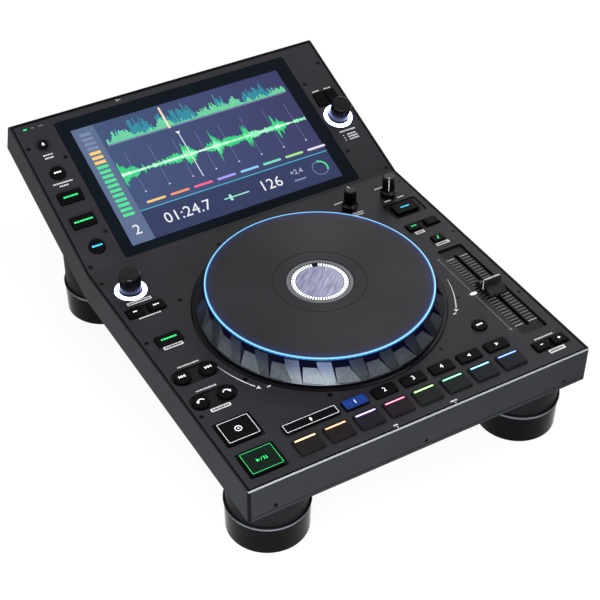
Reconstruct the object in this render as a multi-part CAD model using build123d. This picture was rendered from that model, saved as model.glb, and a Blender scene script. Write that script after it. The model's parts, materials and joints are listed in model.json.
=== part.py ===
from build123d import *

import os
from dataclasses import dataclass
from math import cos, radians, sin, tan

# A tabletop media player: a bent flat case on four tall feet, with a large jog wheel and
# its controls on the level deck and a touch screen on the sloped rear part.
# X runs to the right, Y from the front edge to the back, Z up from the table.
# Lengths are millimetres, angles degrees. Heights on a face count up from the panel's top.

# ---- Case ----
slope_angle = 20.4
screen_column = 38.6  # panel left and right of the glass
key_column = 47.5  # deck between the wheel's base and the nearer side
rear_of_wheel = 22.3  # deck between the wheel's base and the bend
rear_of_glass = 12.0
case_thickness = 33.0
under_height = 55.6  # table to the case's underside
shell_wall = 2.5
side_band = 2.5  # width of the shell's top edge beside the panel
front_band = 3.0
rear_band = 4.5
panel_ledge = 3.0  # shelf inside the shell that carries the panel
front_bevel = 1.6
corner_round = 2.6
rear_round = 3.4
seam_height = 3.3  # groove round the front, above the underside
seam_depth = 0.5

# ---- Top panel ----
panel_thickness = 3.0
panel_gap = 0.35
bend_round = 4.0
well_depth = 1.1
well_corner = 2.0

# ---- Feet ----
foot_side_inset = 37.25
foot_front_y = 38.4
foot_behind_bend = 60.1
foot_ring_height = 29.4
foot_ring_radius = 34.6
foot_ring_taper = 0.4
foot_ring_chamfer = 2.6
foot_bore_radius = 24.0
foot_floor = 4.0
foot_lip_radius = 35.3
foot_lip_height = 1.2
collar_radius = 33.5
collar_wall = 4.0

# ---- Jog wheel ----
jog_x = -3.0
jog_height = 24.2
jog_front_gap = 4.3  # mode keys to the wheel's base
rim_radius = 105.5  # at the rim's foot
jog_base_margin = 3.5
jog_hole_inset = 2.0
jog_base_rise = 2.0
jog_base_wall = 3.0
jog_dish_depth = 14.0
jog_dish_floor = 2.0
spindle_radius = 10.0
spindle_clearance = 0.05
hub_wall = 4.0
hub_bottom = -10.5
platter_thickness = 2.7
platter_groove_radius = 39.3
platter_groove_width = 0.8
platter_groove_depth = 0.4
centre_radius = 28.4
centre_gap = 0.5
centre_sink = 0.7  # round display below the platter's top
centre_height = 8.5
centre_seat_gap = 0.6
well_wall = 2.5
light_ring_gap = 0.15
light_ring_width = 2.3
rim_flare = 7.5
rim_upstand = 0.9  # rim round the light ring
rim_top_drop = 1.7  # rim's shoulder below the platter's top
rim_bottom = 3.5
rim_lip = 0.8
rim_wall = 3.0
rim_ledge_width = 6.5  # ledge under the platter's edge
rim_ledge_thickness = 3.0
notch_count = 24
notch_phase = 10.25
notch_depth = 0.4  # at the rim's top
facet_inset = 0.9
facet_foot = 0.5
notch_height = 15.0
notch_top_left = -11.6
notch_top_right = 3.6
notch_low_left = -6.1
notch_low_right = 14.1
notch_right_run = 0.4  # right side's lean in its upright part
pocket_draft = 34.0  # degrees: how far each pocket's side walls lean back

# ---- Keys: how every push button is made ----
key_gap = 0.45  # cap to panel all round
key_flange = 1.1
key_flange_gap = 0.3
key_flange_thickness = 1.2
key_stem_radius = 1.8
key_stem_bottom = -9.0
key_corner = 1.2
key_edge = 0.5
key_rise = 2.0
key_stroke = 1.2
switch_size = 5.0
switch_gap = 0.3

# ---- Deck columns and rows ----
column_inset = 25.0  # side columns' centre lines, in from the case's sides
transport_width = 28.5
transport_length = 24.0
transport_margin = 2.2
play_y = 24.8
transport_gap = 12.7
transport_rise = 1.6
shift_x = -81.3
shift_y = 42.2
shift_width = 48.6
shift_length = 10.5
mode_first_x = -41.3
mode_y = 41.6
mode_width = 21.0
mode_length = 10.8
mode_gap = 6.25
mode_count = 6
pad_first_x = -95.6
pad_y = 21.0
pad_width = 21.5
pad_length = 17.0
pad_gap = 5.7
pad_count = 8
round_diameter = 13.8
round_gap = 8.4
round_margin = 2.6
jump_y = 102.5
pill_gap = 12.9
skip_to_censor = 31.6
censor_width = 22.8
censor_length = 12.0
censor_to_loop = 32.3
loop_key_width = 13.5
loop_key_length = 10.8
loop_key_gap = 5.7
pair_margin = 0.9
loop_to_encoder = 10.2
slip_x = 97.4
slip_y = 68.5
bend_key_y = 22.6
bend_key_width = 13.2
bend_key_length = 10.0
bend_key_gap = 4.4
fader_to_lock = 11.0
key_lock_width = 11.6
key_lock_length = 8.5
lock_to_sync = 15.6
sync_width = 12.8
sync_length = 9.3
sync_gap = 5.8
sync_to_vinyl = 17.25
vinyl_width = 23.5
vinyl_length = 14.0
vinyl_margin = 5.6

# ---- Turning controls ----
encoder_ring_outer = 14.0
encoder_ring_inner = 10.3
encoder_ring_rise = 0.4
encoder_ring_depth = 1.0
encoder_knob_radius = 9.3
encoder_knob_top_radius = 9.7
encoder_knob_height = 18.5
encoder_knob_shoulder = 15.2  # flutes end here
encoder_push = 0.8
encoder_shaft_radius = 3.0
shaft_clearance = 0.05
shaft_bottom = -10.0
shaft_top = 14.0
panel_hole_gap = 0.6
body_size = 14.0
body_top_gap = 0.3
vinyl_to_pot = 16.6
pot_to_bend = 30.6
pot_first_x = 89.5
pot_pitch = 41.7
pot_height = 22.0
pot_radius = 5.9
pot_skirt_radius = 7.5
pot_skirt_wall = 5.4
pot_skirt_height = 7.2
pot_shoulder = 20.4
pot_flute_count = 16
pot_flute_depth = 0.3
pot_middle_heading = 90.0  # degrees: pointer to the rear
pot_low_heading = 240.0  # pointer at its low stop
knob_lift = 0.8
knurl_count = 24
knurl_depth = 0.45

# ---- Pitch fader ----
bend_to_fader = 13.65
fader_travel = 50.0  # each way
fader_well_width = 25.5
fader_well_length = 127.5
fader_well_depth = 2.0
fader_slot_width = 3.2
fader_stem_width = 2.2
fader_stem_length = 6.0
fader_stem_bottom = -8.0
fader_cap_width = 17.0
fader_cap_length = 22.0
fader_cap_height = 12.5
fader_cap_lift = 0.7  # above the well's floor
fader_lobe_height = 6.8
fader_lobe_steps = 5
fader_ridge_width = 3.0
fader_body_width = 13.0
fader_body_length = 126.0

# ---- Screen and the keys beside it ----
glass_start = 4.2  # bend to the glass
glass_width = 241.8
glass_length = 157.8
glass_x = 0.9
glass_thickness = 1.8
glass_rise = 0.3
glass_corner = 3.0
glass_ledge = 6.0
module_margin = 8.5
module_thickness = 5.0
screen_key_inset = 20.8
eject_s = 142.5
eject_diameter = 8.8
view_s = 108.8
view_diameter = 14.0
source_s = 80.8
menu_key_width = 22.5
menu_key_length = 12.5
shortcuts_s = 52.7
layer_s = 23.8
layer_diameter = 14.6
browse_s = 101.2
browse_key_width = 10.8
browse_key_length = 16.0
browse_gap = 1.6
browse_web_room = 0.3  # between the two keys' flanges and the line midway
select_s = 77.5
select_inset = 20.3

# ---- Screws ----
screw_head_radius = 2.2
screw_head_height = 1.6
screw_shank_radius = 1.2
screw_length = 9.0
screw_clearance = 0.08
screw_hex = 1.3
screw_hex_depth = 0.8
screw_edge = 6.8  # side screws' line, in from the case's sides
screw_rear = 17.4  # rear deck screws before the bend
screw_before_jump = 14.5
screw_after_censor = 4.5
screw_by_bend_x = -39.6
wheel_near = 3.6  # screws round the wheel's base
wheel_far = 9.4
wheel_screws = [(-152.6, wheel_near), (-116.6, wheel_near), (-60.7, wheel_near + 1.8)]
wheel_screws += [(-26.5, wheel_far), (148.6, wheel_far)]
screw_by_glass = 5.0
screen_screw_low = 6.0
screen_screw_rear = 31.4
inner_screw_low = 36.5
inner_screw_high = 123.4
front_screw_inset = 23.3
front_screw_drop = 25.5
front_pad = 4.0
front_pad_depth = 6.0
boss_radius = 3.5
boss_room = 0.7

# ---- Boards ----
board_top = -12.0
board_thickness = 1.6
board_margin = 9.0
board_bend_room = 8.6
main_board_lift = 3.5
main_board_length = 90.0
main_board_width = 210.0
post_radius = 2.5
front_post_inset = 46.4

# ---- Rear housing and its sockets ----
rear_box_width = 168.0
rear_box_behind_bend = 39.4
rear_box_length = 84.0
rear_box_bottom = 38.6
socket_flange = 1.0  # lip of each socket inside the wall
socket_floor_gap = 0.6  # lowest lip above the housing's floor
socket_step = 1.5  # how far the sockets' faces stand out of the wall
inlet_x = -60.0
inlet_width = 27.5
inlet_height = 20.0
inlet_depth = 22.0
inlet_mouth_width = 24.5
inlet_mouth_height = 16.5
inlet_mouth_depth = 17.0
power_x = -31.0
power_width = 12.0
power_height = 9.0
power_stroke = 2.0
power_rise = 3.0
net_x = -8.0
net_size = 16.0
net_mouth_width = 11.8
net_mouth_height = 8.2
usb_x = 14.0
usb_width = 14.6
usb_height = 7.4
usb_mouth_width = 12.6
usb_mouth_height = 5.0
usb_depth = 16.0
usb_mouth_depth = 12.0
jack_first_x = 34.0
jack_pitch = 14.0
jack_count = 3
jack_radius = 4.15
jack_bore = 1.7
jack_length = 8.0
jack_nut_radius = 5.4
jack_nut_height = 1.6
supply_width = 70.0
supply_length = 50.0
supply_height = 26.0

# ---- Port pod under the front edge ----
pod_width = 92.0
pod_front = 10.0
pod_length = 32.0
pod_height = 8.6
front_usb_x = 27.7
card_x = -26.6
card_width = 27.0
card_height = 4.6
card_mouth_width = 24.6
card_mouth_height = 2.6
card_depth = 22.0

# ---- Worked out from the sizes above ----
jog_base_radius = rim_radius + jog_base_margin
jog_hole_radius = rim_radius - jog_hole_inset
rim_top_radius = rim_radius - rim_flare
notch_radius = rim_top_radius - notch_depth
ring_outer = rim_top_radius - rim_upstand
platter_radius = ring_outer - 2 * light_ring_gap - light_ring_width
jog_y = mode_y + mode_length / 2 + jog_front_gap + jog_base_radius
skip_y = jump_y + round_diameter + 2 * round_margin + pill_gap
censor_y = skip_y + round_diameter / 2 + round_margin + skip_to_censor + censor_length / 2
loop_key_y = censor_y + censor_length / 2 + censor_to_loop + loop_key_length / 2
loop_encoder_y = loop_key_y + loop_key_length / 2 + loop_to_encoder + encoder_ring_outer
fader_y = bend_key_y + bend_key_length / 2 + bend_to_fader + fader_well_length / 2
key_lock_y = fader_y + fader_well_length / 2 + fader_to_lock + key_lock_length / 2
sync_y = key_lock_y + key_lock_length / 2 + lock_to_sync + sync_length / 2
vinyl_y = sync_y + sync_length / 2 + sync_to_vinyl + vinyl_length / 2
pot_y = vinyl_y + vinyl_length / 2 + vinyl_to_pot
deck_length = max(jog_y + jog_base_radius + rear_of_wheel, pot_y + pot_to_bend)
slope_length = glass_start + glass_length + rear_of_glass
case_width = max(glass_width + 2 * screen_column, 2 * (jog_base_radius + abs(jog_x) + key_column))
half_width = case_width / 2
foot_x = half_width - foot_side_inset
foot_rear_y = deck_length + foot_behind_bend
rear_box_front = deck_length + rear_box_behind_bend
slope = radians(slope_angle)
deck_z = under_height + case_thickness
depth = deck_length + slope_length * cos(slope) + case_thickness * sin(slope)
panel_half = half_width - side_band - panel_gap
panel_end = slope_length - rear_band
inside_half = half_width - side_band - panel_ledge
inside_depth = case_thickness - shell_wall
left_x = -(half_width - column_inset)
right_x = half_width - column_inset
screen_left_x = -(half_width - screen_key_inset)
select_x = half_width - select_inset
glass_s = glass_start + glass_length / 2
fader_x = right_x + 1.0
bend_key_x = right_x + 1.3
board_half = inside_half - boss_radius - 2 * boss_room - 3.0
wall_y = rear_box_front + rear_box_length
socket_row_z = rear_box_bottom + shell_wall + inlet_height / 2 + socket_flange + socket_floor_gap
lift_out = Location((0, -depth / 2, 0))

deck = Plane(origin=(0, 0, deck_z), x_dir=(1, 0, 0), z_dir=(0, 0, 1))
screen = Plane(origin=(0, deck_length, deck_z), x_dir=(1, 0, 0), z_dir=(0, -sin(slope), cos(slope)))


@dataclass
class Key:
    """A push button: its face, its centre there, and its cap. A round key has no length."""

    node: str
    face: Plane
    x: float
    y: float
    width: float
    length: float = 0.0
    rise: float = key_rise
    lip: float = key_flange

    def place(self):
        return self.face.location * Pos(self.x, self.y, 0)

    def outline(self, grow):
        if self.length:
            corner = max(key_corner + grow, 0.3)
            return RectangleRounded(self.width + 2 * grow, self.length + 2 * grow, corner)
        return Circle(self.width / 2 + grow)


@dataclass
class Well:
    """A shallow recess in the panel."""

    face: Plane
    x: float
    y: float
    width: float
    length: float
    depth: float = well_depth
    corner: float = well_corner

    def cut(self):
        room = min(self.corner, self.length / 2 - 0.01)
        shape = extrude(RectangleRounded(self.width, self.length, room), self.depth + 1)
        return self.face.location * Pos(self.x, self.y, -self.depth) * shape


def row(first, pitch, count):
    """Centres of a row of like things."""
    return [first + pitch * i for i in range(count)]


def pair(centre, width, gap):
    """Centres of two like things either side of a line, a gap apart."""
    return [centre - (width + gap) / 2, centre + (width + gap) / 2]


def pair_well(x, y, width, gap, length):
    """The recess that two neighbouring keys share."""
    full = 2 * width + gap + 2 * key_gap + 2 * pair_margin
    return Well(deck, x, y, full, length + 2 * key_gap + 2 * pair_margin)


def deck_keys():
    """Every push button on the level deck."""
    cue_y = play_y + transport_length + transport_gap
    size = dict(width=transport_width, length=transport_length, rise=transport_rise)
    keys = [Key("cue_button", deck, left_x, cue_y, **size), Key("play_button", deck, left_x, play_y, **size)]
    keys.append(Key("shift_button", deck, shift_x, shift_y, shift_width, shift_length))
    for i, x in enumerate(row(mode_first_x, mode_width + mode_gap, mode_count)):
        keys.append(Key(f"mode_button_{i + 1}", deck, x, mode_y, mode_width, mode_length))
    for i, x in enumerate(row(pad_first_x, pad_width + pad_gap, pad_count)):
        keys.append(Key(f"pad_{i + 1}", deck, x, pad_y, pad_width, pad_length))
    for name, y in (("jump", jump_y), ("skip", skip_y)):
        for side, x in zip(("back", "forward"), pair(left_x, round_diameter, round_gap)):
            keys.append(Key(f"{name}_{side}_button", deck, x, y, round_diameter))
    keys.append(Key("censor_button", deck, left_x, censor_y, censor_width, censor_length))
    for side, x in zip(("in", "out"), pair(left_x, loop_key_width, loop_key_gap)):
        keys.append(Key(f"loop_{side}_button", deck, x, loop_key_y, loop_key_width, loop_key_length))
    keys.append(Key("slip_button", deck, slip_x, slip_y, round_diameter - 0.8))
    for side, x in zip(("minus", "plus"), pair(bend_key_x, bend_key_width, bend_key_gap)):
        keys.append(Key(f"bend_{side}_button", deck, x, bend_key_y, bend_key_width, bend_key_length))
    keys.append(Key("key_lock_button", deck, right_x, key_lock_y, key_lock_width, key_lock_length))
    for name, x in zip(("sync", "lead"), pair(right_x, sync_width, sync_gap)):
        keys.append(Key(f"{name}_button", deck, x, sync_y, sync_width, sync_length))
    keys.append(Key("vinyl_button", deck, right_x, vinyl_y, vinyl_width, vinyl_length))
    return keys


def screen_keys():
    """Every push button on the sloped part, left and right of the screen."""
    x = screen_left_x
    keys = [Key("eject_button", screen, x, eject_s, eject_diameter)]
    keys.append(Key("view_button", screen, x, view_s, view_diameter))
    keys.append(Key("source_button", screen, x, source_s, menu_key_width, menu_key_length))
    keys.append(Key("shortcuts_button", screen, x, shortcuts_s, menu_key_width, menu_key_length))
    keys.append(Key("layer_button", screen, x, layer_s, layer_diameter))
    lip = browse_gap / 2 - browse_web_room
    for name, bx in zip(("back", "forward"), pair(select_x, browse_key_width, browse_gap)):
        keys.append(Key(f"{name}_button", screen, bx, browse_s, browse_key_width, browse_key_length, lip=lip))
    return keys


def panel_wells():
    """The recesses that frame the transport keys, the key pairs and the fader."""
    wide = transport_width + 2 * transport_margin
    deep = transport_length + 2 * transport_margin
    wells = [Well(deck, left_x, y, wide, deep) for y in (play_y, play_y + transport_length + transport_gap)]
    pill = round_diameter + 2 * round_margin
    for y in (jump_y, skip_y):
        wells.append(Well(deck, left_x, y, round_diameter + round_gap + pill, pill, corner=pill / 2))
    wells.append(pair_well(left_x, loop_key_y, loop_key_width, loop_key_gap, loop_key_length))
    wells.append(pair_well(bend_key_x, bend_key_y, bend_key_width, bend_key_gap, bend_key_length))
    wells.append(pair_well(right_x, sync_y, sync_width, sync_gap, sync_length))
    wide = vinyl_width + 2 * vinyl_margin
    wells.append(Well(deck, right_x, vinyl_y, wide, vinyl_length + vinyl_margin * 1.7))
    wells.append(Well(deck, fader_x, fader_y, fader_well_width, fader_well_length, fader_well_depth))
    return wells


def deck_screw_places():
    """Screws in the level deck, as (x, y)."""
    edge = half_width - screw_edge
    rear = deck_length - screw_rear
    heights = (jump_y - screw_before_jump, censor_y + screw_after_censor, rear)
    places = [(side * edge, y) for side in (-1, 1) for y in heights]
    for angle, room in wheel_screws:
        reach = jog_base_radius + room
        places.append((jog_x + reach * cos(radians(angle)), jog_y + reach * sin(radians(angle))))
    places.append((screw_by_bend_x, rear))
    return places


def screen_screw_places():
    """Screws in the sloped part, as (x, s)."""
    edge = half_width - screw_edge
    inner = glass_width / 2 + screw_by_glass
    places = [(side * edge, s) for side in (-1, 1) for s in (screen_screw_low, slope_length - screen_screw_rear)]
    return places + [(glass_x + side * inner, s) for side in (-1, 1) for s in (inner_screw_low, inner_screw_high)]


def front_screw_places():
    """Screws in the front wall, as x."""
    return (-half_width + front_screw_inset, 0.0, half_width - front_screw_inset)


deck_screws = deck_screw_places()
screen_screws = screen_screw_places()
pot_places = row(pot_first_x, pot_pitch, 2)
encoders = [("loop", deck, left_x, loop_encoder_y), ("select", screen, select_x, select_s)]
turning = encoders + [("pot", deck, x, pot_y) for x in pot_places]
keys = deck_keys() + screen_keys()
wells = panel_wells()


def bend_point(height):
    """Where a level at this height turns up into the slope, as (y, z)."""
    return (deck_length - height * tan(slope / 2), deck_z + height)


def slope_point(s, height):
    """A point of the slope at s from the bend and this height over its face, as (y, z)."""
    return (
        deck_length + s * cos(slope) - height * sin(slope),
        deck_z + s * sin(slope) + height * cos(slope),
    )


def bent_band(half, front, end, top, bottom, bend_fillet=0.0):
    """A bent slab between two heights, as wide as twice half."""
    outline = [(front, deck_z + top), bend_point(top), slope_point(end, top)]
    outline += [slope_point(end, bottom), bend_point(bottom), (front, deck_z + bottom)]
    face = make_face(Plane.YZ * Polyline(*outline, close=True))
    if bend_fillet:
        by, bz = bend_point(top)
        corner = face.vertices().sort_by_distance((0, by, bz))[0]
        face = fillet(corner, bend_fillet)
    return extrude(face, half, both=True)


def edges_at(solid, y, z, reach=0.2):
    """Edges that run along X at a place of the side view."""
    along = solid.edges().filter_by(Axis.X)
    return [e for e in along if abs(e.center().Y - y) < reach and abs(e.center().Z - z) < reach]


def cylinder(radius, bottom, top):
    """An upright round bar between two heights."""
    return Pos(0, 0, bottom) * extrude(Circle(radius), top - bottom)


def block(width, length, bottom, top, corner=0.0):
    """An upright block centred on the Z axis, between two heights."""
    outline = RectangleRounded(width, length, corner) if corner else Rectangle(width, length)
    return Pos(0, 0, bottom) * extrude(outline, top - bottom)


def box_between(low, high):
    """A box from its lowest to its highest corner."""
    size = [b - a for a, b in zip(low, high)]
    middle = [(a + b) / 2 for a, b in zip(low, high)]
    return Pos(*middle) * Box(*size)


def spots(face, places, z=0.0):
    """Locations on a face."""
    return [face.location * Pos(x, y, z) for x, y in places]


def screw_spots():
    return spots(deck, deck_screws) + spots(screen, screen_screws)


def front_screw_spots():
    tilt = Location((0, 0, 0), (1, 0, 0), 90)
    return [Pos(x, 0, deck_z - front_screw_drop) * tilt for x in front_screw_places()]


def screw_hole():
    """The counterbore and shank hole of one screw, head side up."""
    head = cylinder(screw_head_radius + screw_clearance, -screw_head_height, 1.0)
    return head + cylinder(screw_shank_radius + screw_clearance, -screw_length - 0.5, 0)


def socket_blocks():
    """Rear sockets as (x, width, height), for the wall's cut-outs."""
    blocks = [(inlet_x, inlet_width, inlet_height), (net_x, net_size, net_size)]
    return blocks + [(usb_x, usb_width, usb_height)]


def lower_case():
    """Shell: sides, front, floor, rear edge, rear socket housing and front port pod."""
    body = bent_band(half_width, 0, slope_length, 0, -case_thickness, bend_round)
    body = chamfer(edges_at(body, 0, deck_z), front_bevel)
    body = fillet(edges_at(body, *slope_point(slope_length, 0)), rear_round)
    corners = [e for e in body.edges().filter_by(Axis.Z) if e.center().Y < 1]
    body = fillet(corners, corner_round)

    box_half = rear_box_width / 2
    roof = bent_band(box_half, 0, slope_length, deck_z, -case_thickness + shell_wall)
    rear_box = box_between((-box_half, rear_box_front, rear_box_bottom), (box_half, wall_y, deck_z + under_height))
    pod_bottom = under_height - pod_height
    pod = box_between(
        (-pod_width / 2, pod_front, pod_bottom), (pod_width / 2, pod_front + pod_length, under_height + 1)
    )
    body = body + (rear_box - roof) + pod

    seam_z = under_height + seam_height
    seam = box_between((-half_width, -1, seam_z), (half_width, seam_depth, seam_z + 0.6))
    body = body - seam
    body -= bent_band(half_width - side_band, front_band, panel_end, 20, -panel_thickness)
    inner_front = front_band + panel_ledge
    body -= bent_band(inside_half, inner_front, panel_end - panel_ledge, 0, -inside_depth)
    inner = box_between(
        (-box_half + shell_wall, rear_box_front + shell_wall, rear_box_bottom + shell_wall),
        (box_half - shell_wall, wall_y - shell_wall, deck_z + deck_z),
    )
    above = bent_band(box_half, 0, slope_length, case_width, -inside_depth - 0.5)
    body -= inner - above

    posts = []
    for face, places in ((deck, deck_screws), (screen, screen_screws)):
        for spot in spots(face, places):
            posts.append(spot * cylinder(boss_radius, -inside_depth - 1, -panel_thickness))
    shell_room = bent_band(half_width - 1, 1, slope_length - 1, -panel_thickness, -case_thickness + 1)
    for spot in spots(screen, screen_screws):
        x = spot.position.X
        if abs(x) < box_half + boss_radius:
            raise ValueError("a slope screw would stand over the rear housing")
    body += [post & shell_room for post in posts]
    for x in front_screw_places():
        z = deck_z - front_screw_drop
        body += box_between((x - front_pad, 1, z - front_pad), (x + front_pad, inner_front + front_pad_depth, z + front_pad))

    holes = [spot * screw_hole() for spot in screw_spots() + front_screw_spots()]
    for x, width, height in socket_blocks():
        holes.append(socket_space(x, socket_row_z, width + 0.4, height + 0.4))
    holes.append(socket_space(power_x, socket_row_z, power_width + 2 * key_gap, power_height + 2 * key_gap))
    for x in row(jack_first_x, jack_pitch, jack_count):
        holes.append(Pos(x, wall_y + 1, socket_row_z) * rear_axis() * cylinder(jack_radius + 0.2, 0, 8))
    port_z = pod_bottom + pod_height / 2
    holes.append(port_space(front_usb_x, port_z, usb_width + 0.4, usb_height + 0.2, usb_depth))
    holes.append(port_space(card_x, port_z, card_width + 0.4, card_height + 0.2, card_depth))
    return body - holes


def rear_axis():
    """Turns an upright shape to point from the rear wall into the case."""
    return Location((0, 0, 0), (1, 0, 0), 90)


def socket_space(x, z, width, height):
    """A hole through the rear wall."""
    return box_between(
        (x - width / 2, wall_y - shell_wall - 1, z - height / 2), (x + width / 2, wall_y + 5, z + height / 2)
    )


def port_space(x, z, width, height, length):
    """A pocket in the front pod."""
    return box_between(
        (x - width / 2, pod_front - 1, z - height / 2), (x + width / 2, pod_front + length, z + height / 2)
    )


def top_panel():
    """Bent plate over deck and slope, with wells, key holes and the screen's window."""
    plate = bent_band(panel_half, front_band + panel_gap, panel_end - panel_gap, 0, -panel_thickness, bend_round)
    plate -= [well.cut() for well in wells]
    cuts = [key.place() * Pos(0, 0, -5) * extrude(key.outline(key_gap), 10) for key in keys]
    for _, face, x, y in turning:
        hole = cylinder(encoder_shaft_radius + panel_hole_gap, -5, 5)
        cuts.append(face.location * Pos(x, y, 0) * hole)
    for _, face, x, y in encoders:
        seat = cylinder(encoder_ring_outer + 0.1, -encoder_ring_depth, 5)
        core = cylinder(encoder_ring_inner - 0.1, -5, 6)
        cuts.append(face.location * Pos(x, y, 0) * (seat - core))
    cuts.append(Pos(jog_x, jog_y, deck_z) * cylinder(jog_hole_radius + panel_gap, -5, 5))
    slot_length = 2 * fader_travel + fader_stem_length + 2.0
    slot = block(fader_slot_width, slot_length, -5, 5, fader_slot_width / 2 - 0.05)
    cuts.append(deck.location * Pos(fader_x, fader_y, 0) * slot)
    frame = Pos(glass_x, glass_s, 0)
    seat = block(glass_width + 0.6, glass_length + 0.6, -glass_thickness + glass_rise, 5, glass_corner)
    window = block(glass_width - 2 * glass_ledge, glass_length - 2 * glass_ledge, -9, 9, glass_corner)
    cuts += [screen.location * frame * seat, screen.location * frame * window]
    plate -= cuts
    plate -= [spot * screw_hole() for spot in screw_spots()]
    for spot in spots(deck, board_posts()):
        plate += spot * cylinder(post_radius, board_top, -panel_thickness + 0.2)
    for spot in spots(screen, screen_board_posts()):
        plate += spot * cylinder(post_radius, board_top, -panel_thickness + 0.2)
    return plate


def board_posts():
    """Posts that hold the deck's control board, as (x, y), clear of every key."""
    near = pad_y - 3.0
    front = half_width - front_post_inset
    side = jog_hole_radius + 9.5
    return [(-front, near), (front, near), (jog_x - side, jog_y), (jog_x + side, jog_y)]


def screen_board_posts():
    """Posts that hold the slope's control board, as (x, s)."""
    side = glass_width / 2 + 5.0
    return [(glass_x + i * side, s) for i in (-1, 1) for s in (22.0, 150.0)]


def foot_places():
    return [(side * foot_x, y) for side in (-1, 1) for y in (foot_front_y, foot_rear_y)]


def foot_rings():
    """The turned lower part of each foot, hollow from above."""
    low = foot_ring_radius - foot_ring_taper
    shoulder = foot_ring_height - foot_ring_chamfer
    outline = [(0, 0), (low - 0.8, 0), (low, 0.8), (foot_ring_radius, shoulder)]
    outline += [(foot_ring_radius - foot_ring_chamfer, foot_ring_height), (foot_bore_radius, foot_ring_height)]
    outline += [(foot_bore_radius, foot_floor), (0, foot_floor)]
    ring = revolve(make_face(Plane.XZ * Polyline(*outline, close=True)), Axis.Z)
    return [Pos(x, y, 0) * ring for x, y in foot_places()]


def foot_collars():
    """The fixed upper part of each foot, cut to the case's underside."""
    top = deck_z + slope_length * sin(slope)
    wide = case_width
    case_room = bent_band(wide, -wide, slope_length + wide, wide, -case_thickness)
    collars = []
    for x, y in foot_places():
        lip = cylinder(foot_lip_radius, foot_ring_height, foot_ring_height + foot_lip_height)
        post = cylinder(collar_radius, foot_ring_height, top)
        hollow = cylinder(collar_radius - collar_wall, 0, under_height - collar_wall)
        collars.append((Pos(x, y, 0) * (lip + post - hollow)) - case_room)
    return collars


def display():
    """The cover glass and the screen module bonded behind it."""
    glass = block(glass_width, glass_length, glass_rise - glass_thickness, glass_rise, glass_corner)
    under = glass_rise - glass_thickness
    wide = glass_width - 2 * glass_ledge - module_margin
    module = block(wide, glass_length - 2 * glass_ledge - 1.5, under - module_thickness, under, 1.0)
    return [screen.location * Pos(glass_x, glass_s, 0) * part for part in (glass, module)]


def turned(outline):
    """A body of revolution about the jog's axis from (radius, height) points."""
    shape = revolve(make_face(Plane.XZ * Polyline(*outline, close=True)), Axis.Z)
    return Pos(jog_x, jog_y, deck_z) * shape


def spindle_top():
    return jog_height - centre_sink - centre_height


def jog_base():
    """Fixed ring, dish and spindle that carry the wheel."""
    inner = jog_hole_radius - jog_base_wall
    floor = -jog_dish_depth
    outline = [(0, floor), (jog_hole_radius, floor), (jog_hole_radius, 0), (jog_base_radius, 0)]
    outline += [(jog_base_radius, jog_base_rise - 0.8), (jog_base_radius - 0.8, jog_base_rise)]
    outline += [(inner, jog_base_rise), (inner, floor + jog_dish_floor)]
    outline += [(spindle_radius, floor + jog_dish_floor), (spindle_radius, spindle_top()), (0, spindle_top())]
    return turned(outline)


def jog_platter():
    """Turning disc with its hub sleeve and the well of the round display."""
    bore = spindle_radius + spindle_clearance
    hub = bore + hub_wall
    hole = centre_radius + centre_gap
    web_top = spindle_top() - centre_seat_gap
    web_low = web_top - platter_thickness
    under = jog_height - platter_thickness
    outline = [(bore, hub_bottom), (hub, hub_bottom), (hub, web_low), (hole + well_wall, web_low)]
    outline += [(hole + well_wall, under), (platter_radius, under), (platter_radius, jog_height - 0.3)]
    outline += [(platter_radius - 0.3, jog_height)]
    outer = platter_groove_radius + platter_groove_width
    outline += [(outer, jog_height), (outer - 0.2, jog_height - platter_groove_depth)]
    outline += [(platter_groove_radius, jog_height - platter_groove_depth)]
    outline += [(platter_groove_radius - 0.2, jog_height), (hole + 0.4, jog_height)]
    outline += [(hole, jog_height - 0.4), (hole, web_top), (bore, web_top)]
    return turned(outline)


def jog_light_ring():
    """Light guide between platter and rim."""
    inner = platter_radius + light_ring_gap
    outer = inner + light_ring_width
    under = jog_height - platter_thickness
    outline = [(inner, under), (outer, under), (outer, jog_height - 0.4), (outer - 0.4, jog_height)]
    outline += [(inner, jog_height)]
    return turned(outline)


def jog_rim():
    """Flaring finger rim with its ledge under the platter and its notches."""
    under = jog_height - platter_thickness
    shoulder = jog_height - rim_top_drop
    low = rim_bottom - rim_lip
    ledge = platter_radius - rim_ledge_width
    outline = [(ledge, under - rim_ledge_thickness), (ledge, under), (ring_outer, under)]
    outline += [(ring_outer, shoulder), (rim_top_radius, shoulder), (rim_radius, rim_bottom)]
    outline += [(rim_radius, low), (rim_radius - rim_wall, low)]
    outline += [(notch_radius - rim_wall, notch_height - 1), (notch_radius - rim_wall - 2, under - rim_ledge_thickness)]
    rim = turned(outline)
    return rim - [rim_notch(notch_phase + i * 360 / notch_count) for i in range(notch_count)]


def rim_notch(angle):
    """One facet pocket: an upright notch above a sloping facet that runs out at the rim's foot."""
    reach = 12.0
    top = jog_height
    foot = rim_bottom + facet_foot
    far = rim_radius + reach
    side = [(notch_radius, top), (notch_radius, notch_height), (rim_radius - facet_inset, foot)]
    side += [(far, foot), (far, top)]
    prism = extrude(make_face(Plane.XZ * Polyline(*side, close=True)), 2 * reach, both=True)
    window = loft([pocket_outline(notch_radius - 1, foot - 1), pocket_outline(far, foot - 1)], ruled=True)
    return Pos(jog_x, jog_y, deck_z) * Rot(0, 0, angle) * (prism & window)


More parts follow.
